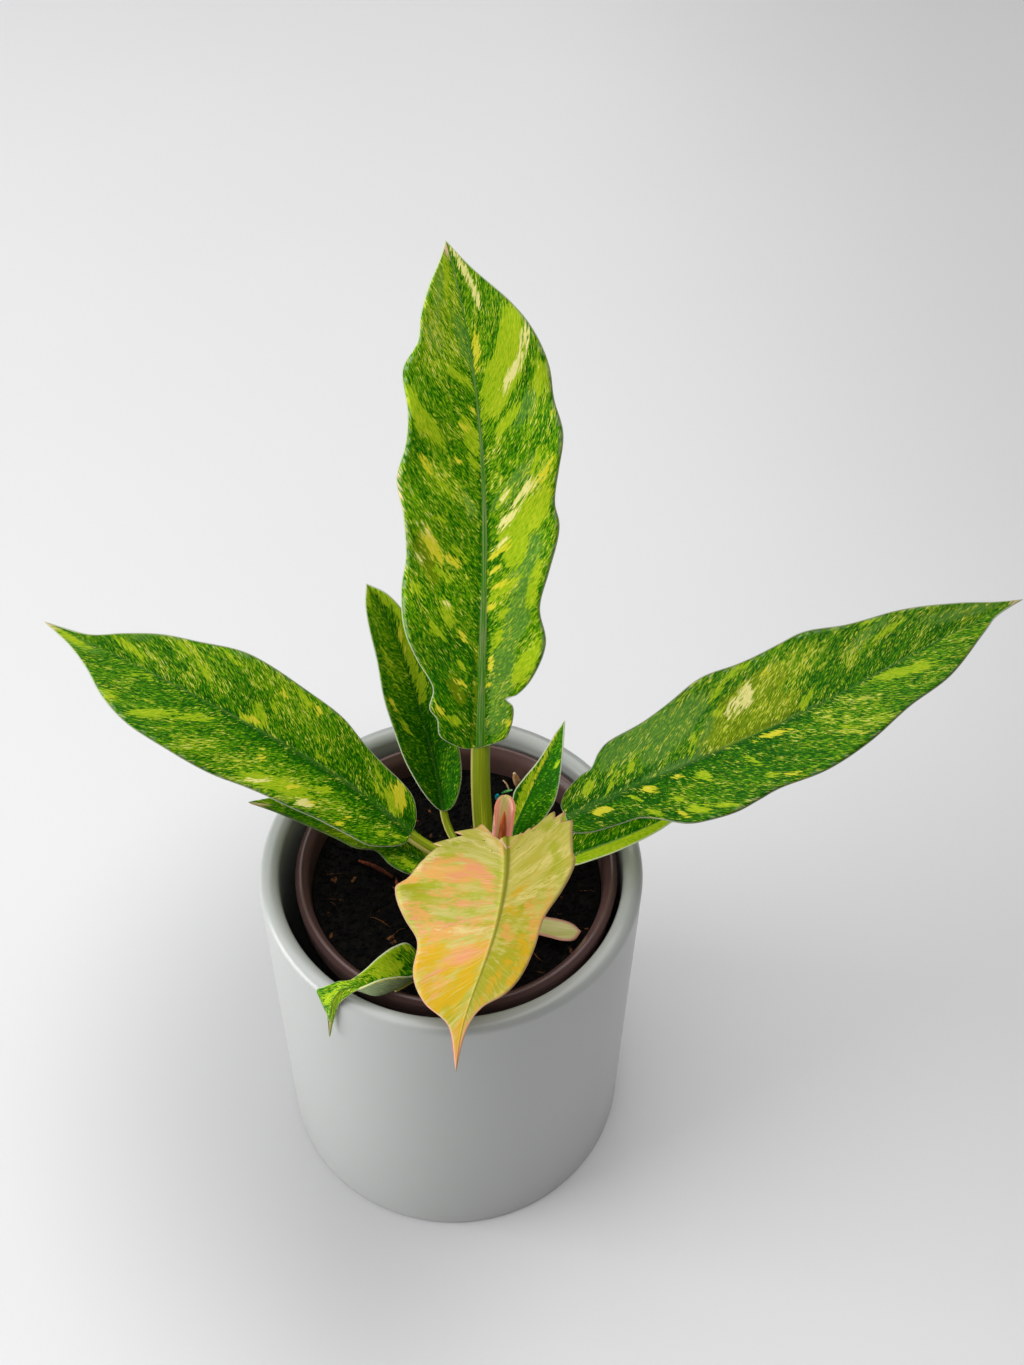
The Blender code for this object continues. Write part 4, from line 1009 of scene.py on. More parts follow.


# Painted patches of each blade by colour, where "dark" is in part painted shade and the grey mark in part a
# painted sheen: from (along, across) to (along, across), and half width
PAINT = {
    "leaf_tall": {
        "grey_and_sheen": ((8, -5, 22, -8, 4), (22, -6, 44, -9, 5), (46, -10, 66, -15, 4.5), (66, -12, 86, -19, 4),
            (94, 4, 102, 8, 1.8), (98, -5, 112, -18, 2.6), (149, 1.6, 165, 3.2, 2),
            (155, 12, 163, 14.5, 1.8), (165, 11, 181, 6, 1.6), (126, -14, 136, -22, 2.5)),
        "lime": ((47.5, 14.5, 52.5, 19.5, 1.5), (52.5, 11.5, 57.5, 15.5, 1.8), (58, 12, 62, 15.5, 1.4),
            (65.5, 24, 69, 26.5, 1.1), (70, 13, 74, 18, 1.4), (78, 7.5, 82, 11.5, 1.2),
            (12, 9, 15, 12.5, 1.6), (34, 7, 37.5, 9, 0.9), (92, 14, 94, 17, 1), (103, 14, 108, 17, 0.9),
            (111, 2, 115, 5, 1.2), (116, 2, 128, 5.5, 2.5), (121, 15, 137, 25, 2.8), (128, 22, 143, 25, 2),
            (140, 2, 149, 11, 1.4), (172, 5, 186, 2, 1), (30, -13, 46, -20.5, 3), (44, -4.5, 50, -7, 1.6),
            (55, -6, 59, -9, 1.3), (62, -3, 71, -12, 1.8), (60, -17, 76, -20, 2), (76, -10, 86, -14, 3.5),
            (84, -8, 98, -19, 5), (90, -18, 104, -24, 2.8), (97, -5, 103, -10, 1.2),
            (123, -7, 132, -15, 1.7), (130, -4, 150, -17, 4.2), (138, -9, 165, -18, 4.2),
            (135, -3, 148, -9, 3), (135, -22, 146, -26, 2), (150, -12, 160, -15, 1.6),
            (108, -18, 118, -22, 0.8)),
        "yellow": ((46, 7, 49.5, 9, 1.1), (75, 10, 79, 14, 1.3), (16.5, 15, 20, 17.5, 1.1),
            (28, 7, 29.5, 9.5, 0.9), (77, 17, 89, 22, 2), (111, 20, 117.5, 22.5, 0.9),
            (113, 8, 115, 10, 0.8), (125, 5, 128, 7, 0.9), (131, 1, 133, 3, 0.8),
            (35, -3.5, 39, -3.5, 0.9), (27.6, -1.5, 28, -4, 0.9), (58.5, -2, 60, -4, 0.9),
            (72.5, -1.5, 75, -6, 0.8), (78, -2, 83, -9, 0.9), (66, -3, 70, -9, 0.9),
            (147, -1.8, 157, -3, 1.1), (11, -10.2, 13, -11, 0.9), (102, -18, 111, -24, 0.9)),
        "cream": ((59.5, 13.5, 61.5, 15.3, 0.8), (78, 23, 80, 24.8, 0.9), (86.5, 20, 91.5, 23.2, 0.9),
            (88.5, -5, 96, -13, 1.2), (82, -5, 86, -9, 0.8), (96, -10, 106, -17.5, 0.9),
            (100.5, -14, 106, -18, 1.6), (138.5, -11, 149, -18.5, 1.5), (149, -18.5, 157, -21, 1.1),
            (165.5, -6, 173, -6, 0.8), (175, -5, 188, -1.5, 1), (98, -6, 102, -9, 0.8)),
        "olive": ((21, 8, 30, 11, 2.4), (70, 19, 88, 24, 3), (2, 3, 40, 1.9, 0.7)),
        "flecky": ((148, 12, 182, 6, 8), (60, -4, 72, -12, 3), (34, -14, 46, -20, 3), (78, 16, 92, 24, 3),
            (128, -20, 146, -26, 3), (98, -16, 116, -26, 4), (100, 6, 114, 22, 4)),
        "dark": ((4, 8, 46, 12, 9),),
        "peach": ((93, 30.2, 112, 31.6, 0.7), (186, 1, 191, 0, 1.2)),
    },
    "leaf_left": {
        "lime": ((40.5, 7, 45.5, 9.8, 1.3), (12, 8.5, 14.5, 11, 1), (4, 5, 7.5, 6.5, 0.9),
            (93, 6, 104, 11.5, 1.3), (105, 11, 119, 19.5, 1.7), (125, 16, 132, 16.5, 1.3),
            (119, 1.8, 126, 4.2, 0.9), (10, -3, 19, -6, 2.5), (73, -3, 82.5, -1.5, 1.7),
            (74, -3, 79, -7, 2.2), (62.5, -17, 69.5, -21.3, 1.5), (53.5, -8, 55, -11, 0.8),
            (72.5, -9, 75, -11.5, 0.9), (100, -8.5, 108, -14, 1.1), (123.5, -4, 135.5, -5.5, 1.2),
            (92.5, -17.5, 98.5, -19.5, 0.8), (46, -2, 50.5, -3, 0.9), (22, -4.5, 24.5, -6, 1),
            (25, -9, 27.5, -10.5, 1.1), (111, -13, 116, -15, 0.8), (145, 2.5, 158, 0.8, 1.4),
            (48, 14, 72, 20, 3)),
        "yellow": ((10.5, -5.5, 16.5, -11, 2.3), (12, -8, 17, -12, 1.6), (28.5, 11.5, 30, 13, 0.8),
            (44, 15.5, 46, 17, 0.8), (53, 14, 57, 16, 0.8), (68, 9, 70, 10.5, 0.9),
            (18.5, -8, 19.5, -9.5, 0.9), (71.5, -15, 73.5, -17, 0.9), (29, 16.5, 33, 17.5, 0.8),
            (57, -16.5, 60, -18.5, 0.8), (76, -2.5, 81, -2, 0.9)),
        "cream": ((45.5, 17, 51, 18.8, 1.4), (64, 17, 71.5, 21.5, 0.8)),
        "grey_and_sheen": ((141, 2, 150, 3.5, 1.8), (90, -22, 96, -21, 0.9), (126, -11, 131, -9, 1.2)),
        "flecky": ((36, 12, 80, 20, 6), (55, -12, 84, -19, 5), (84, 14, 100, 22, 4), (96, -10, 118, -16, 4)),
        "dark": ((4, 2, 90, 3, 2), (2, -3, 8, -7, 2.5), (16, 4, 38, 5, 3)),
        "peach": ((157, 0.6, 162, 0, 1.2),),
    },
    "leaf_right": {
        "grey_and_sheen": ((22, 13, 56, 20, 5), (40, 8, 66, 20, 5.5), (57, 3, 68, 12, 2.4), (126, 13, 142, 16, 2),
            (158, 8, 184, 3, 2.2), (36, 1.2, 60, 1.6, 1.4)),
        "olive": ((62, 3, 98, 6, 6), (72, 12, 100, 18, 5.5), (66, 8, 80, 14, 3)),
        "lime": ((11.5, 5.5, 15, 8.5, 1.5), (19, 2, 24, 6, 1), (30.5, 6.5, 34, 10, 1.2),
            (24, 9.5, 27, 11.5, 0.8), (54, 2, 56, 4, 1), (57, 6, 59, 8.5, 0.9), (100, 1, 102, 4, 1),
            (103, 3, 106, 5.5, 1.1), (54.5, -6.5, 58.5, -10, 1.9), (73.5, -8, 77, -12.5, 1),
            (33, -13, 37, -17, 1), (48, -19, 54, -23, 2), (57, -22, 64, -25, 0.9),
            (108, -12, 111, -15, 0.8), (131, -3, 150, -7.3, 2.1), (131, -2, 140, -4, 1.7),
            (70, 19, 79, 23.5, 0.9), (77, 23, 90, 27, 1.2), (69, 12.5, 73, 14.5, 1.2),
            (136, 11.5, 149, 13.5, 0.9), (133, 18.5, 142, 19, 0.8), (78, -18, 82, -20, 0.8),
            (43, -11, 46, -15, 0.8), (28, -4, 31, -7, 0.8)),
        "yellow": ((12.5, -4, 18.3, -5.2, 1.5), (33.5, -3, 37.3, -5.8, 1.2), (46, -3.5, 48, -4.5, 0.9),
            (81.5, -2.5, 91, -4, 1.1), (44, -19, 46, -22, 0.8), (92, 19, 95, 21, 0.8),
            (84, -21.5, 90, -23.5, 0.8)),
        "cream": ((80, 10.5, 85, 18, 1.7), (82, 12, 85.5, 17, 1.6), (73.5, 11.5, 81.5, 17.5, 1),
            (76, 10.5, 80, 15, 0.9)),
        "flecky": ((64, 4, 100, 10, 5), (84, 14, 116, 20, 6), (90, -10, 126, -16, 6),
            (40, -12, 76, -19, 4.5), (120, 8, 140, 16, 3)),
        "dark": ((70, -1.8, 100, -2.2, 1.6), (4, 2, 40, 2.4, 1.4), (6, -10, 104, -14, 13)),
        "peach": ((190, 0, 195, 0, 0.9),),
    },
    "leaf_back": {
        "lime": ((50, -2, 62, -5.5, 2.2), (58, -2.5, 84, -5, 2.2), (70, 7, 79, 8.6, 0.9),
            (40, 8, 47, 10.5, 0.9), (88, -5.5, 101, -1, 1.2), (84, -7, 96, -5, 1.6), (60, 7, 68, 9, 0.7),
            (96, 5, 102, 1, 1)),
        "yellow": ((52, 11, 57, 12.5, 0.7), (74, -2.5, 82, -4, 0.7)),
        "flecky": ((60, 3, 98, 5, 4),),
        "dark": ((2, 4, 48, 6, 8), (2, -3, 46, -6, 8)),
    },
    "leaf_small": {
        "lime": ((6, 1.8, 34, 2.8, 2.1), (24, 1.6, 57, 1, 1.1), (8, 0.3, 26, 0.8, 0.8),
            (40.5, -6, 43.5, -6.4, 0.7)),
        "yellow": ((22, 1.2, 44, 1.5, 0.5),),
        "dark": ((4, -4, 44, -5, 6), (10, 4, 30, 5.5, 1.6)),
    },
    "leaf_low_left": {
        "lime": ((6, 7, 11, 6, 2), (2, -3.5, 12, -5, 1.3), (34, 7, 40, 8.2, 1.2)),
        "olive": ((30, 7, 46, 8, 2.4),),
        "dark": ((10, 0, 60, 2, 6),),
        "peach": ((69, 0.8, 76, 0, 1.4),),
    },
    "leaf_low_right": {
        "lime": ((2, -5, 60, -4.5, 5.4),),
        "dark": ((2, 4, 60, 4, 6),),
    },
    "leaf_front": {
        "lime": ((9, -4, 18, -6.5, 2), (33, -1, 42, -4, 1.6), (6, -8, 26, -8.6, 0.8), (44, 2, 50, 1, 1.4),
            (28, -5, 33, -7, 1)),
        "olive": ((30, 3, 44, 2, 3),),
        "dark": ((6, -2, 14, -2, 1.5),),
        "peach": ((50, 0, 54, 0, 4), (30, 8.6, 46, 8.8, 0.6)),
        "yellow": ((4, 8.7, 26, 8.7, 0.5),),
    },
    "leaf_new": {
        "olive": ((30, 3, 38, 1.5, 1.6), (22, 18, 36, 3, 1.8), (38, 14, 60, 6, 5), (44, 4, 66, 2, 3.5),
            (52, -4, 66, -5, 3), (14, -34, 26, -38, 3), (20, -30, 36, -30, 4), (60, 8, 72, 2, 2),
            (17, -26, 22, -34, 2.5), (40, 17, 52, 16, 2.5), (66, -8, 72, -6, 2)),
        "peach": ((20, -5, 4, -17, 3.2), (14, -10, 10, -30, 5.5), (22, -16, 26, -28, 3),
            (2, -18, 4, -30, 3.5), (27, -10, 30, -24, 2), (34, -3, 46, -26, 3.6), (44, -2, 54, -14, 4),
            (40, -24, 34, -33, 3), (46, -20, 60, -24, 3), (12, -34, 17, -41, 3), (38, 18, 30, 14, 1.4),
            (41, 10, 37, 5, 1.2), (60, -12, 70, -14, 2.4), (74, 0, 90, 0, 2.6), (-16, -9, -4, -3.5, 1),
            (30, 20, 42, 18.6, 1.6)),
        "yellow": ((48, -4, 68, -7, 3), (50, -17, 60, -22, 3.2), (60, -8, 71, -12, 3),
            (44, 19, 58, 13, 1.6), (50, 9, 62, 5, 1.4), (62, -18, 69, -17, 2.5), (50, -24, 62, -23, 1.6),
            (40, 13, 44, 18, 1.6), (24, 4, 20, 10, 1), (54, -11, 62, -16, 2), (68, 0, 78, -1, 1.8),
            (29, 3, 31, 8, 0.9)),
        "pink": ((18, -5, 6, -15, 2.2), (12, -12, 14, -20, 2.6), (27, -10, 28, -19, 1),
            (46, -4, 52, -12, 2), (52, -13, 60, -16, 1.1), (36, -12, 40, -20, 1.2), (3, -30, 8, -34, 1),
            (84, 0, 90, 0, 1.4), (46, -26, 38, -31, 1.4)),
        "cream": ((2, 24, 8, 4, 1), (13, 26, 16, 5, 1.1), (20, 27, 26, 6, 1.2), (-12, -8, 0, -4, 1.4),
            (-13, -22, -6, -12, 1), (38, -4, 41, -16, 0.9), (-2, -28, 6, -33, 0.9)),
        "lime": ((23, -3, 26, -25, 1.1), (30, -3, 32, -12, 1), (36, -4, 37, -22, 0.9), (12, -3, 22, -3, 1),
            (-2, -18, 0, -26, 1.6), (28, -18, 30, -32, 1.4), (20, -21, 20, -30, 1.4), (8, 20, 20, 24, 2),
            (-4, 14, 4, 22, 1.6), (-8, -18, -4, -24, 1.4)),
    },
}


def margin_distance(leaf, along, across):
    """Distance from each point to the margin of its own half, on the flat blade."""
    away = np.full(along.shape, 1e9)
    for row in leaf.outline:
        own = (across >= 0.0) if row[:, 1].max() > 0.0 else (across < 0.0)
        points = np.stack([along[own], across[own]], axis=-1)
        a, b = row[:-1], row[1:]
        span = b - a
        size = np.maximum((span ** 2).sum(axis=1), 1e-9)
        t = np.clip(((points[:, None] - a) * span).sum(axis=2) / size, 0.0, 1.0)
        gap = points[:, None] - (a + t[..., None] * span)
        away[own] = np.sqrt((gap ** 2).sum(axis=2)).min(axis=1)
    return away


def vein_place(leaf, along, across):
    """Streak that each point lies on, and how far out on it: slanting, and drawn together at the tip."""
    out = np.abs(across)
    if leaf.fan:
        pace, square = (np.where(across >= 0.0, leaf.fan[0][k], leaf.fan[1][k]) for k in (0, 1))
        return (along + pace * square * out) / np.maximum(1.0 + pace * out, 0.2), out
    share = np.clip((along / leaf.length - 0.55) / 0.45, 0.0, 1.0)
    steeper = 1.0 + 1.5 * share ** 2
    slant = (leaf.lean[0] * out + leaf.lean[1] * out ** 2) * steeper
    return along - slant, out * np.sqrt(1.0 + (leaf.lean[0] * steeper) ** 2)


def painted(leaf, along, across):
    """Strength of each painted colour: 1 inside its patches, a half at their edge, 0 outside."""
    fields = {}
    for colour in MARKS:
        field = np.zeros_like(along)
        for a0, x0, a1, x1, width in PAINT.get(leaf.name, {}).get(colour, ()):
            way = np.array([a1 - a0, x1 - x0])
            size = np.hypot(*way)
            way = way / size
            u = (along - (a0 + a1) / 2) * way[0] + (across - (x0 + x1) / 2) * way[1]
            v = (across - (x0 + x1) / 2) * way[0] - (along - (a0 + a1) / 2) * way[1]
            far = (np.abs(u) / (0.5 * size + 0.5 * width)) ** PATCH_CORNERS
            far = (far + (np.abs(v) / width) ** PATCH_CORNERS) ** (1 / PATCH_CORNERS)
            edge = np.clip((1.0 - far) * max(width, 1.0) / leaf.blur / 2 + 0.5, 0.0, 1.0)
            same_half = (across * (x0 + x1) >= 0.0)
            field = np.maximum(field, np.where(same_half, edge, 0.0))
        fields[colour] = field
    return fields


def blade_mesh(leaf, thickness, relief, fine=9, columns=22):
    """Closed blade: an upper and an under sheet that meet in a thin round margin."""
    along, across, shares = leaf.flat_grid(fine, columns)
    place = leaf.bent(along, across)
    inner = np.clip(along, 0.02 * leaf.length, 0.98 * leaf.length)
    small = 0.05
    run = leaf.bent(inner + small, across) - leaf.bent(inner - small, across)
    inside = np.sign(across + 1e-9) * np.maximum(np.abs(across), 0.3)
    sweep = leaf.bent(inner, inside + small) - leaf.bent(inner, inside - small)
    normal = unit(np.cross(run, sweep))
    middle = len(shares) // 2
    normal[:, middle] = unit(normal[:, middle - 1] + normal[:, middle + 1])
    away = margin_distance(leaf, along, across)
    streak, out = vein_place(leaf, along, across)
    fields = painted(leaf, along, across)
    half = 0.5 * thickness * np.sqrt(1.0 - (1.0 - np.minimum(away / MARGIN_ROUND, 1.0)) ** 2)
    rib = leaf.rib_half(along)
    beside = np.abs(across) / rib
    inland = np.clip(away / MARGIN_CALM, 0.0, 1.0)
    ridge = rib * (0.26 * np.exp(-(beside / 0.8) ** 2) - 0.14 * np.exp(-((beside - 1.7) / 0.6) ** 2))
    swell = relief * (np.abs(np.sin(math.pi * streak / VEIN_PITCH)) ** 0.6 - 0.6)
    swell = swell * np.clip(beside - 1.0, 0.0, 1.0)
    lift = (ridge + swell) * inland
    top = place + normal * (half + lift)[..., None]
    bottom = place - normal * (half - 0.6 * swell * inland)[..., None]
    rows, row_length = along.shape
    faces = grid_faces(rows, row_length)
    count = rows * row_length
    upper = [face[::-1] for face in faces]
    lower = [tuple(k + count for k in face) for face in faces]
    layers = {"veins": (np.where(across >= 0.0, streak, streak + HALF_SHIFT), out, 0.0 * along),
              "shape": (along / leaf.length, beside, away)}
    for k in range(3):
        layers[f"paint_{k}"] = [fields[colour] for colour in MARKS[3 * k:3 * k + 3]]
    attributes = [("under", 'FLOAT', np.repeat((0.0, 1.0), count))]
    for label, values in layers.items():
        values = np.stack(values, axis=-1).reshape(count, 3)
        attributes.append((label, 'FLOAT_VECTOR', np.concatenate([values, values])))
    points = np.concatenate([top.reshape(-1, 3), bottom.reshape(-1, 3)])
    return build_mesh(leaf.name, points, upper + lower, merge=0.02, attributes=attributes)


def stalk_line(leaf):
    """Centre line and radii of the stalk, from the stem's axis to the blade and on under the rib."""
    foot = np.array([*STEM_PLACE, leaf.foot])
    base = leaf.rib_point(np.array(0.0))
    way = base - foot
    reach = 0.4 * np.linalg.norm(way)
    first = foot + reach * compass(math.degrees(math.atan2(way[1], way[0])), leaf.launch)
    second = base - reach * (compass(*leaf.neck) if leaf.neck else leaf.direction(np.array(0.0)))
    line = []
    below = leaf.upward(np.array(0.0))
    for t in np.linspace(0.0, 1.0, STALK_STEPS)[:-1]:
        spot = ((1 - t) ** 3 * foot + 3 * t * (1 - t) ** 2 * first + 3 * t ** 2 * (1 - t) * second
                + t ** 3 * base)
        radius = leaf.stalk[0] + (leaf.stalk[1] - leaf.stalk[0]) * t
        line.append((*(spot - below * RIB_SINK * radius * t ** 4), radius))
    for share in np.linspace(0.0, 1.0, STALK_STEPS):
        spot = np.array(share * leaf.rib_share)
        radius = leaf.stalk[1] + (RIB_END_RADIUS - leaf.stalk[1]) * share ** 0.7
        line.append((*(leaf.rib_point(spot) - leaf.upward(spot) * RIB_SINK * radius), radius))
    return line


# Finishes

class LeafShader(Shader):
    """Writer for a blade's tree, with its veins, its shape and its painted colours at hand."""

    def __init__(self, tree):
        super().__init__(tree)
        self.veins = self.vector("veins")
        self.share, self.beside, self.away = self.split(self.vector("shape"))
        self.paint = {}
        for k in range(3):
            self.paint.update(zip(MARKS[3 * k:3 * k + 3], self.split(self.vector(f"paint_{k}"))))

    def cloud(self, width, length, seed):
        """Pattern drawn out along the veins."""
        return self.group(vein_flecks(), Veins=self.veins, Width=width, Length=length, Seed=seed)["Cloud"]

    def patch(self, colour, breakup, softness, seed):
        """Painted patches of one colour."""
        return self.group(streaked_patch(), Patch=self.paint[colour], Veins=self.veins, Breakup=breakup,
                          Softness=softness, Seed=seed)["Mask"]

    def skin(self, surface, colour, width, length, relief):
        """Colour of a blade, with a satin sheen and a fine relief that run along its veins."""
        cloud = self.cloud(width, length, 61.0)
        self.feed(surface["Base Color"], colour)
        self.feed(surface["Roughness"], self.step(cloud, 0.3, 0.7, 0.42, 0.56))
        self.feed(surface["Normal"], self.bump(cloud, relief, 0.6))


def leaf_finish(leaf, looks):
    """Speckled blade: how pale each streak is picks its colour, and painted patches make it paler; painted
    shade darkens it beside the rib and where it is marked dark, and a leaf's glow share is a painted glow.
    """
    material, write, surface = new_material(leaf.name + "_blade", 0.5, LeafShader, Specular_IOR_Level=0.08)
    rough = write.total(0.0, (write.cloud(0.5, 2.0, 11.0), 1.4), (write.cloud(1.1, 5.0, 23.0), 0.4),
                        (write.cloud(6.0, 22.0, 3.0), 0.4))
    pale = write.math('ADD', rough, leaf.pale)
    pale = write.math('MULTIPLY_ADD', write.paint["flecky"], 0.07, pale)
    # Painted shade: where the blade is marked dark, the ground is made darker.
    pale = write.math('MULTIPLY_ADD', write.paint["dark"], -0.08, pale)
    # Painted shade in the valley beside the rib: full on the lower half of the blade and gone near the tip.
    shade = write.math('MULTIPLY', write.step(write.beside, 3.2, 1.2), write.step(write.share, 0.95, 0.5))
    pale = write.math('MULTIPLY_ADD', shade, -0.10, pale)
    fleck = write.total(write.cloud(0.5, 2.8, 71.0), (write.cloud(5.0, 16.0, 73.0), 0.5))
    fleck = write.math('MULTIPLY_ADD', write.paint["flecky"], 0.05, fleck)
    # Painted shade also thins out the pale flecks where the blade is marked dark.
    fleck = write.math('MULTIPLY_ADD', write.paint["dark"], -0.03, fleck)
    raised = write.step(fleck, leaf.flecks - 0.01, leaf.flecks + 0.025)
    pale = write.blend(raised, pale, write.math('MULTIPLY_ADD', rough, 0.5, 0.80))
    masks = {}
    for name, level, seed in (("lime", 0.68, 29.0), ("yellow", 0.80, 41.0), ("cream", 0.94, 47.0)):
        masks[name] = write.patch(name, 0.75, 0.05, seed)
        pale = write.blend(masks[name], pale, write.math('MULTIPLY_ADD', rough, 0.4, level))
        raised = write.math('MAXIMUM', raised, masks[name])
    ground = write.math('SUBTRACT', 1.0, raised)
    between = tuple((a + b) / 2 for a, b in zip(looks.green, looks.lime))
    colour = write.ramp(pale, (0.34, looks.dark), (0.46, looks.green), (0.57, between), (0.64, looks.lime),
                        (0.80, looks.light), (0.94, looks.cream))
    # The grey mark is in part a painted sheen; grey and olive sectors tint the ground between the flecks.
    for name, tint, seed in (("grey_and_sheen", looks.grey_and_sheen, 17.0), ("olive", looks.olive, 19.0)):
        sector = write.math('MULTIPLY', write.patch(name, 0.9, 0.2, seed), ground)
        colour = write.mix(write.share_of(sector, 0.45), colour, tint)
    colour = write.mix(write.share_of(masks["yellow"], 0.6), colour, looks.yellow)
    colour = write.mix(write.patch("peach", 0.9, 0.15, 53.0), colour, looks.pink)
    lines = write.join(write.share_of(write.share, 9.0), write.share_of(write.beside, 2.5), leaf.length)
    lines = write.noise(lines, 1.0, 3.0)
    rib_colour = write.mix(write.step(lines, 0.40, 0.60), looks.rib, looks.green)
    rib = write.share_of(write.step(write.beside, 1.2, 0.8), leaf.rib_light)
    colour = write.mix(rib, colour, rib_colour)
    colour = write.mix(write.share_of(write.step(write.away, 0.5, 0.2), 0.9), colour, looks.margin)
    pale_under = write.mix(0.35, looks.under, colour)
    under = write.math('MULTIPLY', write.value("under"), write.step(write.away, 0.2, 1.2))
    colour = write.mix(under, colour, pale_under)
    # Painted shade over the whole blade: its colours are mixed towards black by the leaf's shade share.
    colour = write.mix(leaf.shade, colour, (0.0, 0.0, 0.0))
    write.skin(surface, colour, 0.9, 5.0, 0.00025)
    # Painted glow: the blade emits its own colour, standing in for light that comes through it.
    if leaf.painted_glow:
        write.feed(surface["Emission Color"], colour)
        surface["Emission Strength"].default_value = leaf.painted_glow
    return material


def stalk_finish(name, looks, colour=None):
    """Stalk: lengthwise streaks, pale along some sides and dark along others."""
    material, write, surface = new_material(name, 0.45, Specular_IOR_Level=0.2)
    run, around = write.value("run"), write.value("around")
    broad = write.noise(write.join(write.share_of(run, 5.0), write.share_of(around, 6.0), 2.0), 1.0, 1.0)
    fine = write.noise(write.join(write.share_of(run, 25.0), write.share_of(around, 60.0)), 1.0, 2.0)
    base = colour if colour is not None else looks.stalk
    shade = write.total(0.5, (broad, 0.5), (fine, 1.3))
    tint = write.ramp(shade, (0.26, tuple(c * 0.6 for c in base)), (0.46, base), (0.66, base),
                      (0.9, looks.light))
    stripe = write.math('ABSOLUTE', write.math('SUBTRACT', around, STALK_STRIPE))
    stripe = write.step(stripe, 0.14, 0.11)
    tint = write.mix(write.share_of(stripe, 0.8), tint, looks.stripe)
    write.feed(surface["Base Color"], tint)
    write.feed(surface["Normal"], write.bump(fine, 0.0002, 0.5))
    return material


def new_leaf_finish(looks):
    """Youngest leaf: pale lime with gold, peach, pink and olive sectors that run into each other, and
    painted shade over its left half.
    """
    material, write, surface = new_material("leaf_new_blade", 0.5, LeafShader, Specular_IOR_Level=0.15)
    colour = write.mix(write.step(write.cloud(2.2, 22.0, 5.0), 0.38, 0.62), looks.ground, looks.pale)
    for name, tint, share, softness, seed in (
            ("olive", looks.olive, 0.9, 0.35, 13.0), ("peach", looks.peach, 0.95, 0.35, 19.0),
            ("yellow", looks.gold, 0.95, 0.35, 23.0), ("pink", looks.pink, 0.85, 0.3, 29.0),
            ("cream", looks.cream, 0.8, 0.3, 31.0), ("lime", looks.lime, 0.8, 0.3, 37.0)):
        colour = write.mix(write.share_of(write.patch(name, 0.9, softness, seed), share), colour, tint)
    thin = write.step(write.cloud(0.5, 16.0, 41.0), 0.54, 0.70)
    colour = write.mix(write.share_of(thin, 0.35), colour, looks.cream)
    dusky = write.step(write.cloud(0.6, 14.0, 43.0), 0.54, 0.70)
    colour = write.mix(write.share_of(dusky, 0.4), colour, looks.olive)
    rib = write.math('MULTIPLY', write.step(write.beside, 1.2, 0.5),
                     write.step(write.share, 0.9, 0.2, 0.35, 0.85))
    colour = write.mix(rib, colour, looks.rib)
    colour = write.mix(write.share_of(write.step(write.away, 0.7, 0.2), 0.8), colour, looks.margin)
    colour = write.mix(write.share_of(write.value("under"), 0.5), colour, looks.pale)
    # Painted shade: the left half's colours are multiplied by a dull yellow grey.
    painted_shade_left = write.step(write.split(write.veins)[0], 0.5 * HALF_SHIFT, 0.4 * HALF_SHIFT)
    colour = write.mix(painted_shade_left, colour, write.mix(1.0, colour, (0.72, 0.70, 0.55), 'MULTIPLY'))
    write.skin(surface, colour, 1.1, 14.0, 0.0003)
    return material


def plain_leaf_finish(name, main, second, edge_colour, painted_glow=0.0, flank=20.0):
    """Pale scale leaf or sheath: streaks along its length, and a painted glow for light that comes through.

    The edge's colour also takes the flanks, from so many half widths of the rib outwards.
    """
    material, write, surface = new_material(name, 0.5, Emission_Strength=painted_glow)
    _, beside, away = write.split(write.vector("shape"))
    streaks = write.group(skin_streaks(), Place=write.scaled(write.vector("veins"), (0.05, 0.9, 1.0)),
                          Scale=1.0, Main=main, Second=second)
    rim = write.math('MAXIMUM', write.step(away, 1.6, 0.6), write.step(beside, flank, flank + 1.2))
    colour = write.mix(rim, streaks["Colour"], edge_colour)
    write.feed(surface["Base Color"], colour)
    # Painted glow: the skin emits its own colour, at the glow strength.
    write.feed(surface["Emission Color"], colour)
    write.feed(surface["Normal"], write.bump(streaks["Height"], 0.0002, 0.5))
    return material


def streaked_finish(name, roughness, stretch, scale, main, second, relief, strength):
    """Skin with upright streaks of a second colour."""
    material, write, surface = new_material(name, roughness)
    streaks = write.group(skin_streaks(), Place=write.scaled(write.object_place(), (1.0, 1.0, stretch)),
                          Scale=scale, Main=main, Second=second)
    write.feed(surface["Base Color"], streaks["Colour"])
    write.feed(surface["Normal"], write.bump(streaks["Height"], relief, strength))
    return material


def glaze_finish(looks):
    """Smooth satin glaze, a touch darker towards the foot."""
    material, write, surface = new_material(
        "satin_glaze", looks.gloss, Coat_Weight=0.25, Coat_Roughness=0.22)
    height = write.split(write.object_place())[2]
    low = tuple(c * 0.96 for c in looks.glaze)
    write.feed(surface["Base Color"], write.mix(write.step(height, 0.0, 0.1), low, looks.glaze))
    return material


def plastic_finish(looks):
    """Moulded plastic: fine grain, and dried peat that is thickest below the rim."""
    material, write, surface = new_material("nursery_plastic", 0.36)
    place = write.object_place()
    grain = write.group(fine_grain(), Place=place, Grain=1500.0, Clouds=60.0)
    low = write.step(write.split(place)[2], 0.163, 0.153)
    dusty = write.math('MULTIPLY', write.step(grain["Cloud"], 0.45, 0.7), write.math('ADD', 0.15, low))
    write.feed(surface["Base Color"], write.mix(write.share_of(dusty, 0.7), looks.plastic, looks.dust))
    write.feed(surface["Roughness"], write.step(dusty, 0.0, 0.8, 0.28, 0.7))
    write.feed(surface["Normal"], write.bump(grain["Height"], 0.00015, 0.4))
    return material


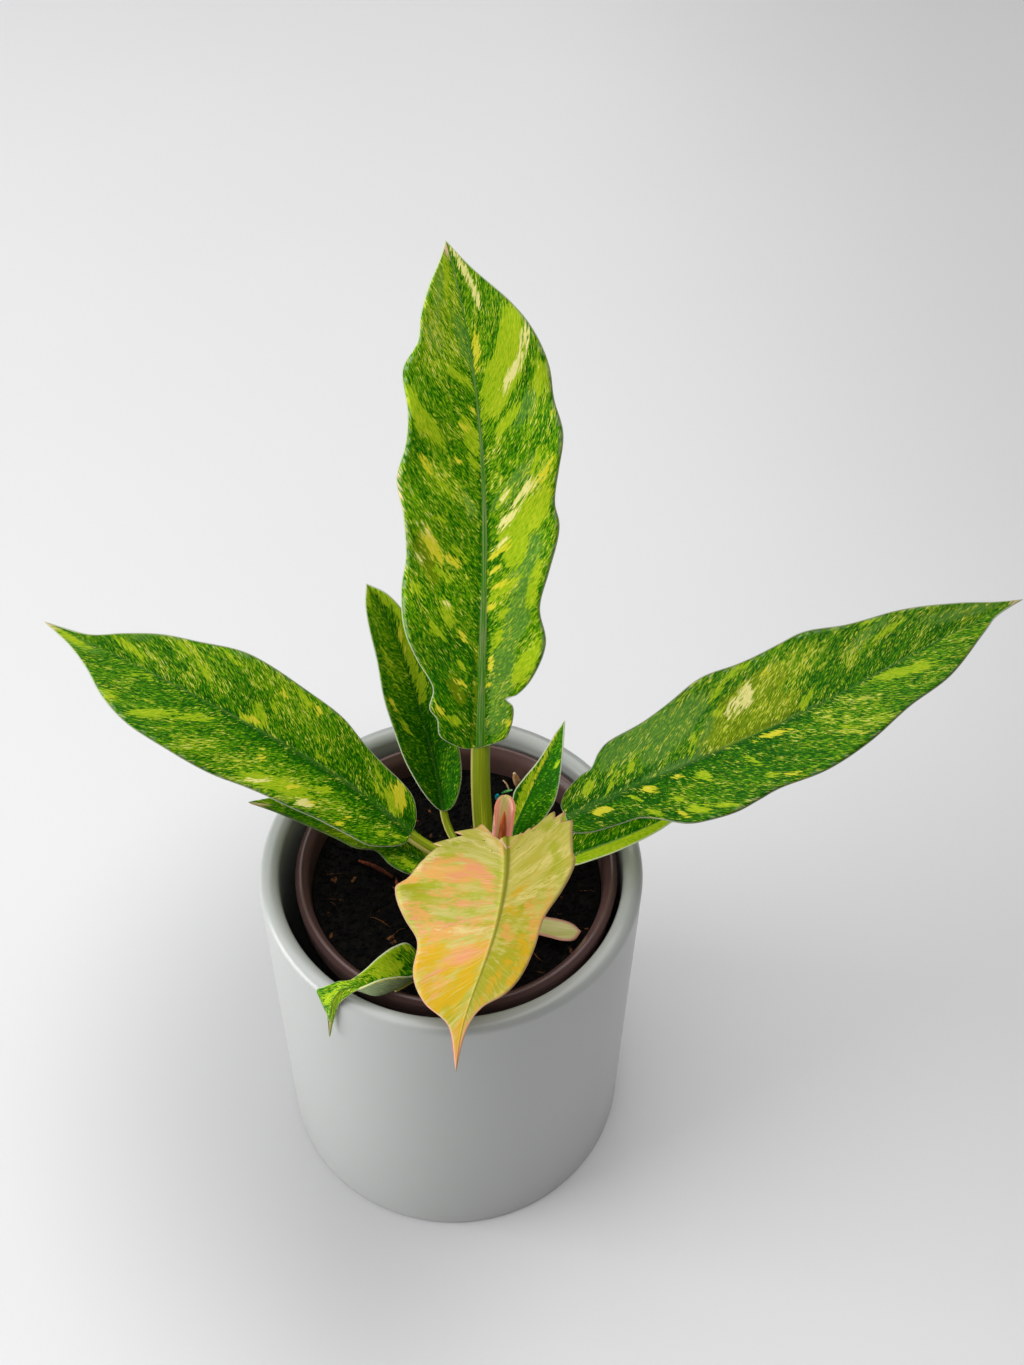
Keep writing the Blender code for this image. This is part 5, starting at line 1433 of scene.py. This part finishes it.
def peat_finish(name, dark, light, roughness=0.92):
    """Crumbly peat or bark: mottled browns with a coarse surface."""
    material, write, surface = new_material(name, roughness, Specular_IOR_Level=0.12)
    mottle = write.group(crumbly_mottle(), Place=write.object_place(), Dark=dark, Light=light)
    write.feed(surface["Base Color"], mottle["Colour"])
    write.feed(surface["Normal"], write.bump(mottle["Height"], 0.0006, 0.8))
    return material


def floor_finish(looks):
    """Pale floor with the faintest clouds, and painted shade: darker towards the right, and a painted
    contact shadow close to the pot on the left.
    """
    material, write, surface = new_material("pale_floor", 0.75)
    place = write.object_place()
    cloud = write.group(fine_grain(), Place=place, Clouds=3.0)["Cloud"]
    cloudy = tuple(c * 0.985 for c in looks.floor)
    colour = write.mix(write.step(cloud, 0.3, 0.7), cloudy, looks.floor)
    across = write.split(place)[0]
    # Painted contact shadow beside the pot's left side, within about a quarter metre of its middle.
    far = write.node('ShaderNodeVectorMath', operation='LENGTH')
    write.feed(far.inputs[0], place)
    painted_contact_shadow = write.math('MULTIPLY', write.step(far.outputs["Value"], 0.24, 0.07),
                      write.step(across, 0.06, -0.06))
    # Painted shade: the floor is mixed towards black towards the right and under the painted contact shadow.
    for mask, share in ((write.step(across, 0.05, 0.5), 0.16), (painted_contact_shadow, 0.3)):
        colour = write.mix(write.share_of(mask, share), colour, (0.0, 0.0, 0.0))
    write.feed(surface["Base Color"], colour)
    return material


# Operators

class PHILODENDRON_OT_cover_pot(bpy.types.Operator):
    """Make the glazed cover pot with its full round lip"""
    bl_idname = "philodendron.cover_pot"
    bl_label = "Cover Pot"

    def execute(self, context):
        looks = context.scene.philodendron.cover_pot
        outer, height, wall = looks.diameter / 2 / MM, looks.height / MM, looks.wall / MM
        inner, lip, rounding = outer - wall, wall / 2, POT_FLOOR_ROUND
        profile = [(0.0, POT_FLOOR), (inner * 0.5, POT_FLOOR)]
        profile += arc((inner - rounding, POT_FLOOR + rounding), rounding, -90, 0, 8)
        profile += [(inner, height * 0.5)]
        profile += arc((outer - lip, height - lip), lip, 180, 0, 28)
        profile += [(outer, height * 0.75), (outer, height * 0.5), (outer, height * 0.25)]
        profile += arc((outer - POT_FOOT_ROUND, POT_FOOT_ROUND), POT_FOOT_ROUND, 0, -90, 8)
        profile += [(inner * 0.5, 0.0), (0.0, 0.0)]
        mesh = turned_mesh("cover_pot_glazed", profile, looks.segments)
        add_piece("cover_pot_glazed", mesh, glaze_finish(looks), "glaze_white", "cover_pot")
        return {'FINISHED'}


def nursery_bore(height):
    """Inner radius of the nursery pot at a height."""
    share = (height - NURSERY_FOOT) / (NURSERY_RIM_HEIGHT - NURSERY_BAND - NURSERY_FOOT)
    return NURSERY_FOOT_RADIUS - NURSERY_WALL + share * (NURSERY_THROAT - NURSERY_FOOT_RADIUS + NURSERY_WALL)


class PHILODENDRON_OT_nursery_pot(bpy.types.Operator):
    """Make the plastic nursery pot with its rim band and drain holes"""
    bl_idname = "philodendron.nursery_pot"
    bl_label = "Nursery Pot"

    def execute(self, context):
        looks = context.scene.philodendron.nursery_pot
        floor, rim = NURSERY_FOOT + NURSERY_WALL, NURSERY_RIM_HEIGHT
        step, edge = rim - NURSERY_BAND, NURSERY_RIM_RADIUS
        profile = [(0.0, floor), (nursery_bore(floor) - 1.0, floor), (nursery_bore(floor), floor + 1.0)]
        profile += [(nursery_bore(z), z) for z in (60.0, 110.0)]
        profile += [(nursery_bore(step), step), (NURSERY_THROAT + 0.1, rim - 7.5)]
        profile += [(NURSERY_THROAT + 0.3, rim - 5.0), (NURSERY_THROAT + 0.8, rim - 3.0),
                    (NURSERY_THROAT + 1.8, rim - 1.6), (NURSERY_THROAT + 2.6, rim - 0.6)]
        profile += arc((edge - 2.2, rim - 1.3), 1.3, 120, 20, 10)
        profile += [(edge - 0.4, rim - 1.5), (edge, rim - 2.4), (edge - 0.3, rim - 6.0),
                    (edge - 0.6, step + 1.0), (edge - 0.9, step + 0.3), (edge - 1.4, step)]
        profile += [(nursery_bore(step) + NURSERY_WALL + 0.6, step - 0.2),
                    (nursery_bore(step) + NURSERY_WALL, step - 1.0),
                    (NURSERY_FOOT_RADIUS, NURSERY_FOOT + 0.8), (NURSERY_FOOT_RADIUS - 0.8, NURSERY_FOOT),
                    (0.0, NURSERY_FOOT)]
        mesh = turned_mesh("nursery_pot_plastic", profile, looks.segments, NURSERY_PLACE)
        holes = bmesh.new()
        for k in range(DRAIN_HOLES):
            turn = math.tau * k / DRAIN_HOLES
            hole = bmesh.ops.create_cone(holes, cap_ends=True, segments=32, radius1=DRAIN_RADIUS * MM,
                                         radius2=DRAIN_RADIUS * MM, depth=4 * NURSERY_WALL * MM)
            shift = ((NURSERY_PLACE[0] + DRAIN_CIRCLE * math.cos(turn)) * MM,
                     (NURSERY_PLACE[1] + DRAIN_CIRCLE * math.sin(turn)) * MM,
                     (NURSERY_FOOT + NURSERY_WALL / 2) * MM)
            bmesh.ops.translate(holes, verts=hole["verts"], vec=shift)
        drill, blank = linked("drain_holes", bpy.data.meshes.new("drain_holes")), linked("blank", mesh)
        holes.to_mesh(drill.data)
        holes.free()
        cut = blank.modifiers.new("drain", 'BOOLEAN')
        cut.operation, cut.object, cut.solver = 'DIFFERENCE', drill, 'EXACT'
        finished = bpy.data.meshes.new_from_object(blank.evaluated_get(context.evaluated_depsgraph_get()))
        for helper in (drill, blank):
            bpy.data.objects.remove(helper, do_unlink=True)
        finished.shade_smooth()
        add_piece("nursery_pot_plastic", finished, plastic_finish(looks), "plastic_brown", "nursery_pot")
        return {'FINISHED'}


def soil_height(x, y):
    """Height of the peat at a place, in millimetres."""
    total = 0.0
    for size, pace, phase in SOIL_LUMPS:
        total += size * math.sin(pace * (x - NURSERY_PLACE[0]) + phase) \
            * math.cos(pace * (y - NURSERY_PLACE[1]) + 1.7 * phase)
    rough = noise.fractal(Vector((x, y, 3.0)) / 5.0, 1.0, 2.1, 5)
    lumps = noise.cell(Vector((x, y, 1.0)) / 2.2)
    return SOIL_LEVEL + 0.55 * total + 0.9 * rough + 0.35 * lumps


class PHILODENDRON_OT_soil(bpy.types.Operator):
    """Make the peat with its rough top and a seat for the stem"""
    bl_idname = "philodendron.soil"
    bl_label = "Peat"

    def execute(self, context):
        looks = context.scene.philodendron.soil
        circle = unit_circle(SOIL_SIDES)
        stem, pot = np.array(STEM_PLACE), np.array(NURSERY_PLACE)
        bottom = NURSERY_FOOT + NURSERY_WALL + SEAT
        lowest = STEM_PROFILE[0][1]
        rings = [(stem + 0.0 * circle, lowest - SEAT)]
        for radius, height in STEM_PROFILE[:3]:
            inner = stem + circle * (radius + SEAT)
            rings.append((inner, height - SEAT if height == lowest else height))
        outer = pot + circle * (nursery_bore(SOIL_LEVEL) - SEAT)
        sunk = SOIL_LEVEL - SOIL_SINK
        for share in np.linspace(0.0, 1.0, SOIL_RINGS):
            ring = inner + (outer - inner) * share
            fade = min(1.0, 12.0 * share, 18.0 * (1.0 - share) + 0.1)
            rings.append((ring, [sunk + fade * (soil_height(x, y) - sunk) for x, y in ring]))
        rings.append((pot + circle * (nursery_bore(bottom) - SEAT), bottom))
        rings.append((pot + 0.0 * circle, bottom))
        mesh = build_mesh("soil_peat", stacked(rings), grid_faces(len(rings), SOIL_SIDES, around=True),
                          merge=0.01)
        face_outwards(mesh)
        add_piece("soil_peat", mesh, peat_finish("moist_peat", looks.peat, looks.crumb), "peat_black",
                  "soil")
        return {'FINISHED'}


def lump(name, seed, stretch):
    """Small angular lump of a few dozen faces, about one millimetre across."""
    bm = bmesh.new()
    bmesh.ops.create_icosphere(bm, subdivisions=1, radius=0.5 * MM)
    for vert in bm.verts:
        push = 1.0 + 0.5 * noise.noise(vert.co / MM * 2.3 + Vector((seed, 0.0, 0.0)))
        vert.co = Vector(c * push * s for c, s in zip(vert.co, stretch))
    mesh = bpy.data.meshes.new(name)
    bm.to_mesh(mesh)
    bm.free()
    return linked(name, mesh)


def fibre_lines(count, seed):
    """Lines of (x, y, z, radius) for fibres that lie bent on the peat."""
    lines = []
    rng = np.random.default_rng(seed)
    while len(lines) < count:
        spot = rng.uniform(-FIBRE_START - 2.0, FIBRE_START + 2.0, 2)
        if np.hypot(*spot) > FIBRE_START or np.hypot(*(spot - STEM_PLACE)) < FIBRE_FROM_STEM:
            continue
        heading, size = rng.uniform(0.0, math.tau), rng.uniform(4.0, 12.0)
        bend, radius = rng.uniform(-0.5, 0.5), rng.uniform(0.10, 0.28)
        line = []
        for t in np.linspace(0.0, 1.0, 7):
            turn = heading + bend * t
            x = spot[0] + NURSERY_PLACE[0] + size * t * math.cos(turn)
            y = spot[1] + NURSERY_PLACE[1] + size * t * math.sin(turn)
            if math.hypot(x - NURSERY_PLACE[0], y - NURSERY_PLACE[1]) > FIBRE_REACH:
                break
            height = soil_height(x, y) + 0.3 + 1.4 * math.sin(math.pi * t)
            line.append((x, y, height, radius * (1.1 - t * 0.6)))
        if len(line) > 2:
            lines.append(line)
    return lines


class PHILODENDRON_OT_litter(bpy.types.Operator):
    """Scatter crumbs, bark chips, fibres and a few dry bits over the peat"""
    bl_idname = "philodendron.litter"
    bl_label = "Crumbs and Bark"

    def execute(self, context):
        looks = context.scene.philodendron.soil
        circle = unit_circle(BED_SIDES)
        inner = np.array(STEM_PLACE) + circle * BED_FROM_STEM
        outer = np.array(NURSERY_PLACE) + circle * (nursery_bore(SOIL_LEVEL) - BED_FROM_POT)
        rings = [inner + (outer - inner) * share for share in np.linspace(0.0, 1.0, BED_RINGS)]
        points = stacked([(ring, [soil_height(x, y) for x, y in ring]) for ring in rings])
        bed = build_mesh("bed", points, grid_faces(BED_RINGS, BED_SIDES, around=True))
        area = math.pi * ((outer - NURSERY_PLACE) ** 2).sum(axis=1).mean() * MM * MM
        kinds = (("soil_crumbs", 11.0, (1.0, 0.9, 0.75), looks.crumbs, 0.7, math.tau,
                  peat_finish("dry_crumbs", looks.peat, looks.crumb)),
                 ("soil_bark", 23.0, (2.0, 1.1, 0.35), looks.chips, 1.0, 0.6,
                  peat_finish("bark_chips", looks.crumb, looks.bark, 0.8)))
        for name, seed, stretch, count, smallest, tilt, material in kinds:
            shape = lump(name + "_shape", seed, stretch)
            mesh = grown(name, bed.copy(), scattered_bits(), Shape=shape, Density=count / area,
                         Smallest=smallest, Largest=2.6, Tilt=tilt, Seed=looks.seed + int(seed),
                         Material=material)
            bpy.data.objects.remove(shape, do_unlink=True)
            add_piece(name, mesh, material, "peat_black")
        tubular = [("soil_fibres", looks.crumb, looks.bark, fibre_lines(looks.fibres, looks.seed), 0.8, 6)]
        tubular += [(name, tone(*dark), tone(*light), runs, 0.7, 12) for name, dark, light, runs in BITS]
        for name, dark, light, runs, roughness, sides in tubular:
            skin = peat_finish(name + "_skin", dark, light, roughness)
            add_piece(name, tubes(name, runs, skin, sides), skin, "peat_black")
        return {'FINISHED'}


class PHILODENDRON_OT_stem(bpy.types.Operator):
    """Make the short crown that the stalks grow from"""
    bl_idname = "philodendron.stem"
    bl_label = "Stem"

    def execute(self, context):
        looks = context.scene.philodendron.leaves
        radii, heights = np.array(STEM_PROFILE).T
        fine = np.linspace(heights[0], heights[-1], 60)
        sizes = np.interp(fine, heights, radii)
        rings = 0.25 * np.sin(fine * 1.3) ** 8
        profile = [(0.0, heights[0])] + list(zip(sizes - rings, fine))
        profile += [(sizes[-1] * 0.6, heights[-1]), (0.0, heights[-1])]
        mesh = turned_mesh("stem_crown", profile[::-1], 64, STEM_PLACE)
        material = streaked_finish("crown_skin", 0.55, 0.25, 700.0, looks.dark, looks.stalk, 0.0004, 0.6)
        add_piece("stem_crown", mesh, material, "stem_green", "stem")
        return {'FINISHED'}


def dress_leaf(leaf, blade_finish, stalk_material, looks, fine=9, columns=22):
    """Blade with its stalk and rib as one piece that replaces the leaf's node."""
    mesh = blade_mesh(leaf, looks.thickness / MM, looks.relief / MM, fine, columns)
    mesh.materials.append(blade_finish)
    if leaf.stalk[0] > 0.0:
        stalk = tubes(leaf.name + "_stalk", [stalk_line(leaf)], stalk_material, 28)
        mesh = joined(leaf.name + "_grown", [mesh, stalk])
    add_piece(leaf.name + "_grown", mesh, None, leaf.slot, leaf.name)


class PHILODENDRON_OT_green_leaves(bpy.types.Operator):
    """Make the speckled green leaves"""
    bl_idname = "philodendron.green_leaves"
    bl_label = "Green Leaves"

    def execute(self, context):
        looks = context.scene.philodendron.leaves
        stalks = stalk_finish("green_stalk", looks)
        for leaf in LEAVES:
            dress_leaf(leaf, leaf_finish(leaf, looks), stalks, looks)
        return {'FINISHED'}


class PHILODENDRON_OT_new_leaf(bpy.types.Operator):
    """Make the youngest open leaf and the pale scale leaf"""
    bl_idname = "philodendron.new_leaf"
    bl_label = "New Leaf"

    def execute(self, context):
        green, looks = context.scene.philodendron.leaves, context.scene.philodendron.new_leaf
        pale_stalk = stalk_finish("pale_stalk", green, looks.lime)
        dress_leaf(NEW_LEAF, new_leaf_finish(looks), pale_stalk, green, 8, 26)
        scale = plain_leaf_finish("scale_leaf_skin", looks.scale_leaf, looks.scale_streak,
                                  looks.scale_edge)
        dress_leaf(SCALE_LEAF, scale, pale_stalk, green, 12, 14)
        return {'FINISHED'}


def rolled_mesh(rows=60, sides=56):
    """Leaf rolled up tight: a wound section along ROLLED_LEAF, closed at both ends."""
    points, turns = [], np.linspace(0.0, math.tau, sides, endpoint=False)
    for k, (x, y, z, radius) in enumerate(smooth_row(ROLLED_LEAF, np.linspace(0.0, 1.0, rows))):
        wind = ((turns - 0.9 * k / rows) % math.tau) / math.tau
        size = radius * (0.84 + 0.16 * wind)
        points += [(x + r * math.cos(t), y + r * math.sin(t), z) for r, t in zip(size, turns)]
    (*foot, _), (*top, height, _) = ROLLED_LEAF[0], ROLLED_LEAF[-1]
    points += [tuple(foot), (*top, height + 0.5)]
    faces = grid_faces(rows, sides, around=True)
    first, last = rows * sides, rows * sides + 1
    for k in range(sides):
        following = (k + 1) % sides
        faces.append((following, k, first))
        faces.append(((rows - 1) * sides + k, (rows - 1) * sides + following, last))
    mesh = build_mesh("rolled_leaf_wound", points, faces)
    face_outwards(mesh)
    return mesh


class PHILODENDRON_OT_bud(bpy.types.Operator):
    """Make the bud: the rolled leaf in its sheath"""
    bl_idname = "philodendron.bud"
    bl_label = "Bud"

    def execute(self, context):
        green, looks = context.scene.philodendron.leaves, context.scene.philodendron.new_leaf
        skin = plain_leaf_finish("sheath_skin", looks.sheath, looks.sheath_streak, looks.sheath_edge,
                                 painted_glow=0.15, flank=5.0)
        dress_leaf(SHEATH, skin, skin, green, 9, 18)
        material = streaked_finish("rolled_skin", 0.4, 0.12, 900.0, looks.rolled, looks.rolled_streak,
                                   0.0003, 0.5)
        add_piece("rolled_leaf_wound", rolled_mesh(), material, "bud_orange", "rolled_leaf")
        return {'FINISHED'}


class PHILODENDRON_OT_stage(bpy.types.Operator):
    """Make the pale floor, the soft lights and the camera"""
    bl_idname = "philodendron.stage"
    bl_label = "Stage"

    def execute(self, context):
        looks = context.scene.philodendron.stage
        mesh = bpy.data.meshes.new("floor")
        mesh.from_pydata([(-6, -6, 0), (6, -6, 0), (6, 6, 0), (-6, 6, 0)], [], [(0, 1, 2, 3)])
        mesh.materials.append(floor_finish(looks))
        linked("floor", mesh)
        for name, place, aim, size, power in (
                ("side_light", (-2.0, -0.3, 0.4), (0.0, 0.0, 0.1), 1.5, looks.key),
                ("top_light", (-0.2, 0.25, 2.5), (0.0, 0.0, 0.1), 3.4, looks.top)):
            lamp = bpy.data.lights.new(name, 'AREA')
            lamp.shape, lamp.size, lamp.energy = 'SQUARE', size, power
            light = linked(name, lamp)
            light.location = place
            light.rotation_euler = (Vector(aim) - Vector(place)).to_track_quat('-Z', 'Y').to_euler()
            light.visible_camera = False
        world = bpy.data.worlds.new("room")
        world.use_nodes = True
        background = world.node_tree.nodes["Background"].inputs
        background["Color"].default_value = (1.0, 1.0, 1.0, 1.0)
        background["Strength"].default_value = looks.air
        context.scene.world = world
        context.scene.view_settings.view_transform = 'Standard'
        lens = bpy.data.cameras.new("camera")
        lens.sensor_width, lens.lens, lens.clip_start = 36.0, looks.lens, 0.01
        camera = linked("camera", lens)
        yaw, pitch, roll = (math.radians(turn) for turn in (CAMERA_YAW, CAMERA_PITCH, CAMERA_ROLL))
        ahead = Vector((math.sin(yaw) * math.cos(pitch), math.cos(yaw) * math.cos(pitch), -math.sin(pitch)))
        level = Vector((math.cos(yaw), -math.sin(yaw), 0.0))
        above = level.cross(ahead)
        right = math.cos(roll) * level + math.sin(roll) * above
        upright = -math.sin(roll) * level + math.cos(roll) * above
        turn = Matrix((right, upright, -ahead)).transposed().to_4x4()
        camera.matrix_world = Matrix.Translation(CAMERA_PLACE) @ turn
        context.scene.camera = camera
        return {'FINISHED'}


STEPS = (PHILODENDRON_OT_cover_pot, PHILODENDRON_OT_nursery_pot, PHILODENDRON_OT_soil,
         PHILODENDRON_OT_litter, PHILODENDRON_OT_stem, PHILODENDRON_OT_green_leaves,
         PHILODENDRON_OT_new_leaf, PHILODENDRON_OT_bud, PHILODENDRON_OT_stage)


class PHILODENDRON_PT_panel(bpy.types.Panel):
    """Sidebar panel with the settings and one button for each step"""
    bl_idname = "PHILODENDRON_PT_panel"
    bl_label = "Potted Philodendron"
    bl_space_type = 'VIEW_3D'
    bl_region_type = 'UI'
    bl_category = "Philodendron"

    def draw(self, context):
        settings = context.scene.philodendron
        for label in ("cover_pot", "nursery_pot", "soil", "leaves", "new_leaf", "stage"):
            box = self.layout.box()
            box.label(text=label.replace("_", " ").title())
            group = getattr(settings, label)
            for key in group.bl_rna.properties.keys():
                if key not in ("rna_type", "name"):
                    box.prop(group, key)
        for step in STEPS:
            self.layout.operator(step.bl_idname)


CLASSES = (PhilodendronCoverPot, PhilodendronNurseryPot, PhilodendronSoil, PhilodendronLeaves,
           PhilodendronNewLeaf, PhilodendronStage, PhilodendronSettings, *STEPS, PHILODENDRON_PT_panel)


def register():
    """Register the classes and the scene's settings."""
    for part in CLASSES:
        bpy.utils.register_class(part)
    bpy.types.Scene.philodendron = PointerProperty(type=PhilodendronSettings)


def unregister():
    """Undo register."""
    del bpy.types.Scene.philodendron
    for part in reversed(CLASSES):
        bpy.utils.unregister_class(part)


def main():
    """Make every piece and the stage."""
    register()
    for step in STEPS:
        group, name = step.bl_idname.split(".")
        getattr(getattr(bpy.ops, group), name)()
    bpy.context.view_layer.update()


if __name__ == "__main__":
    main()
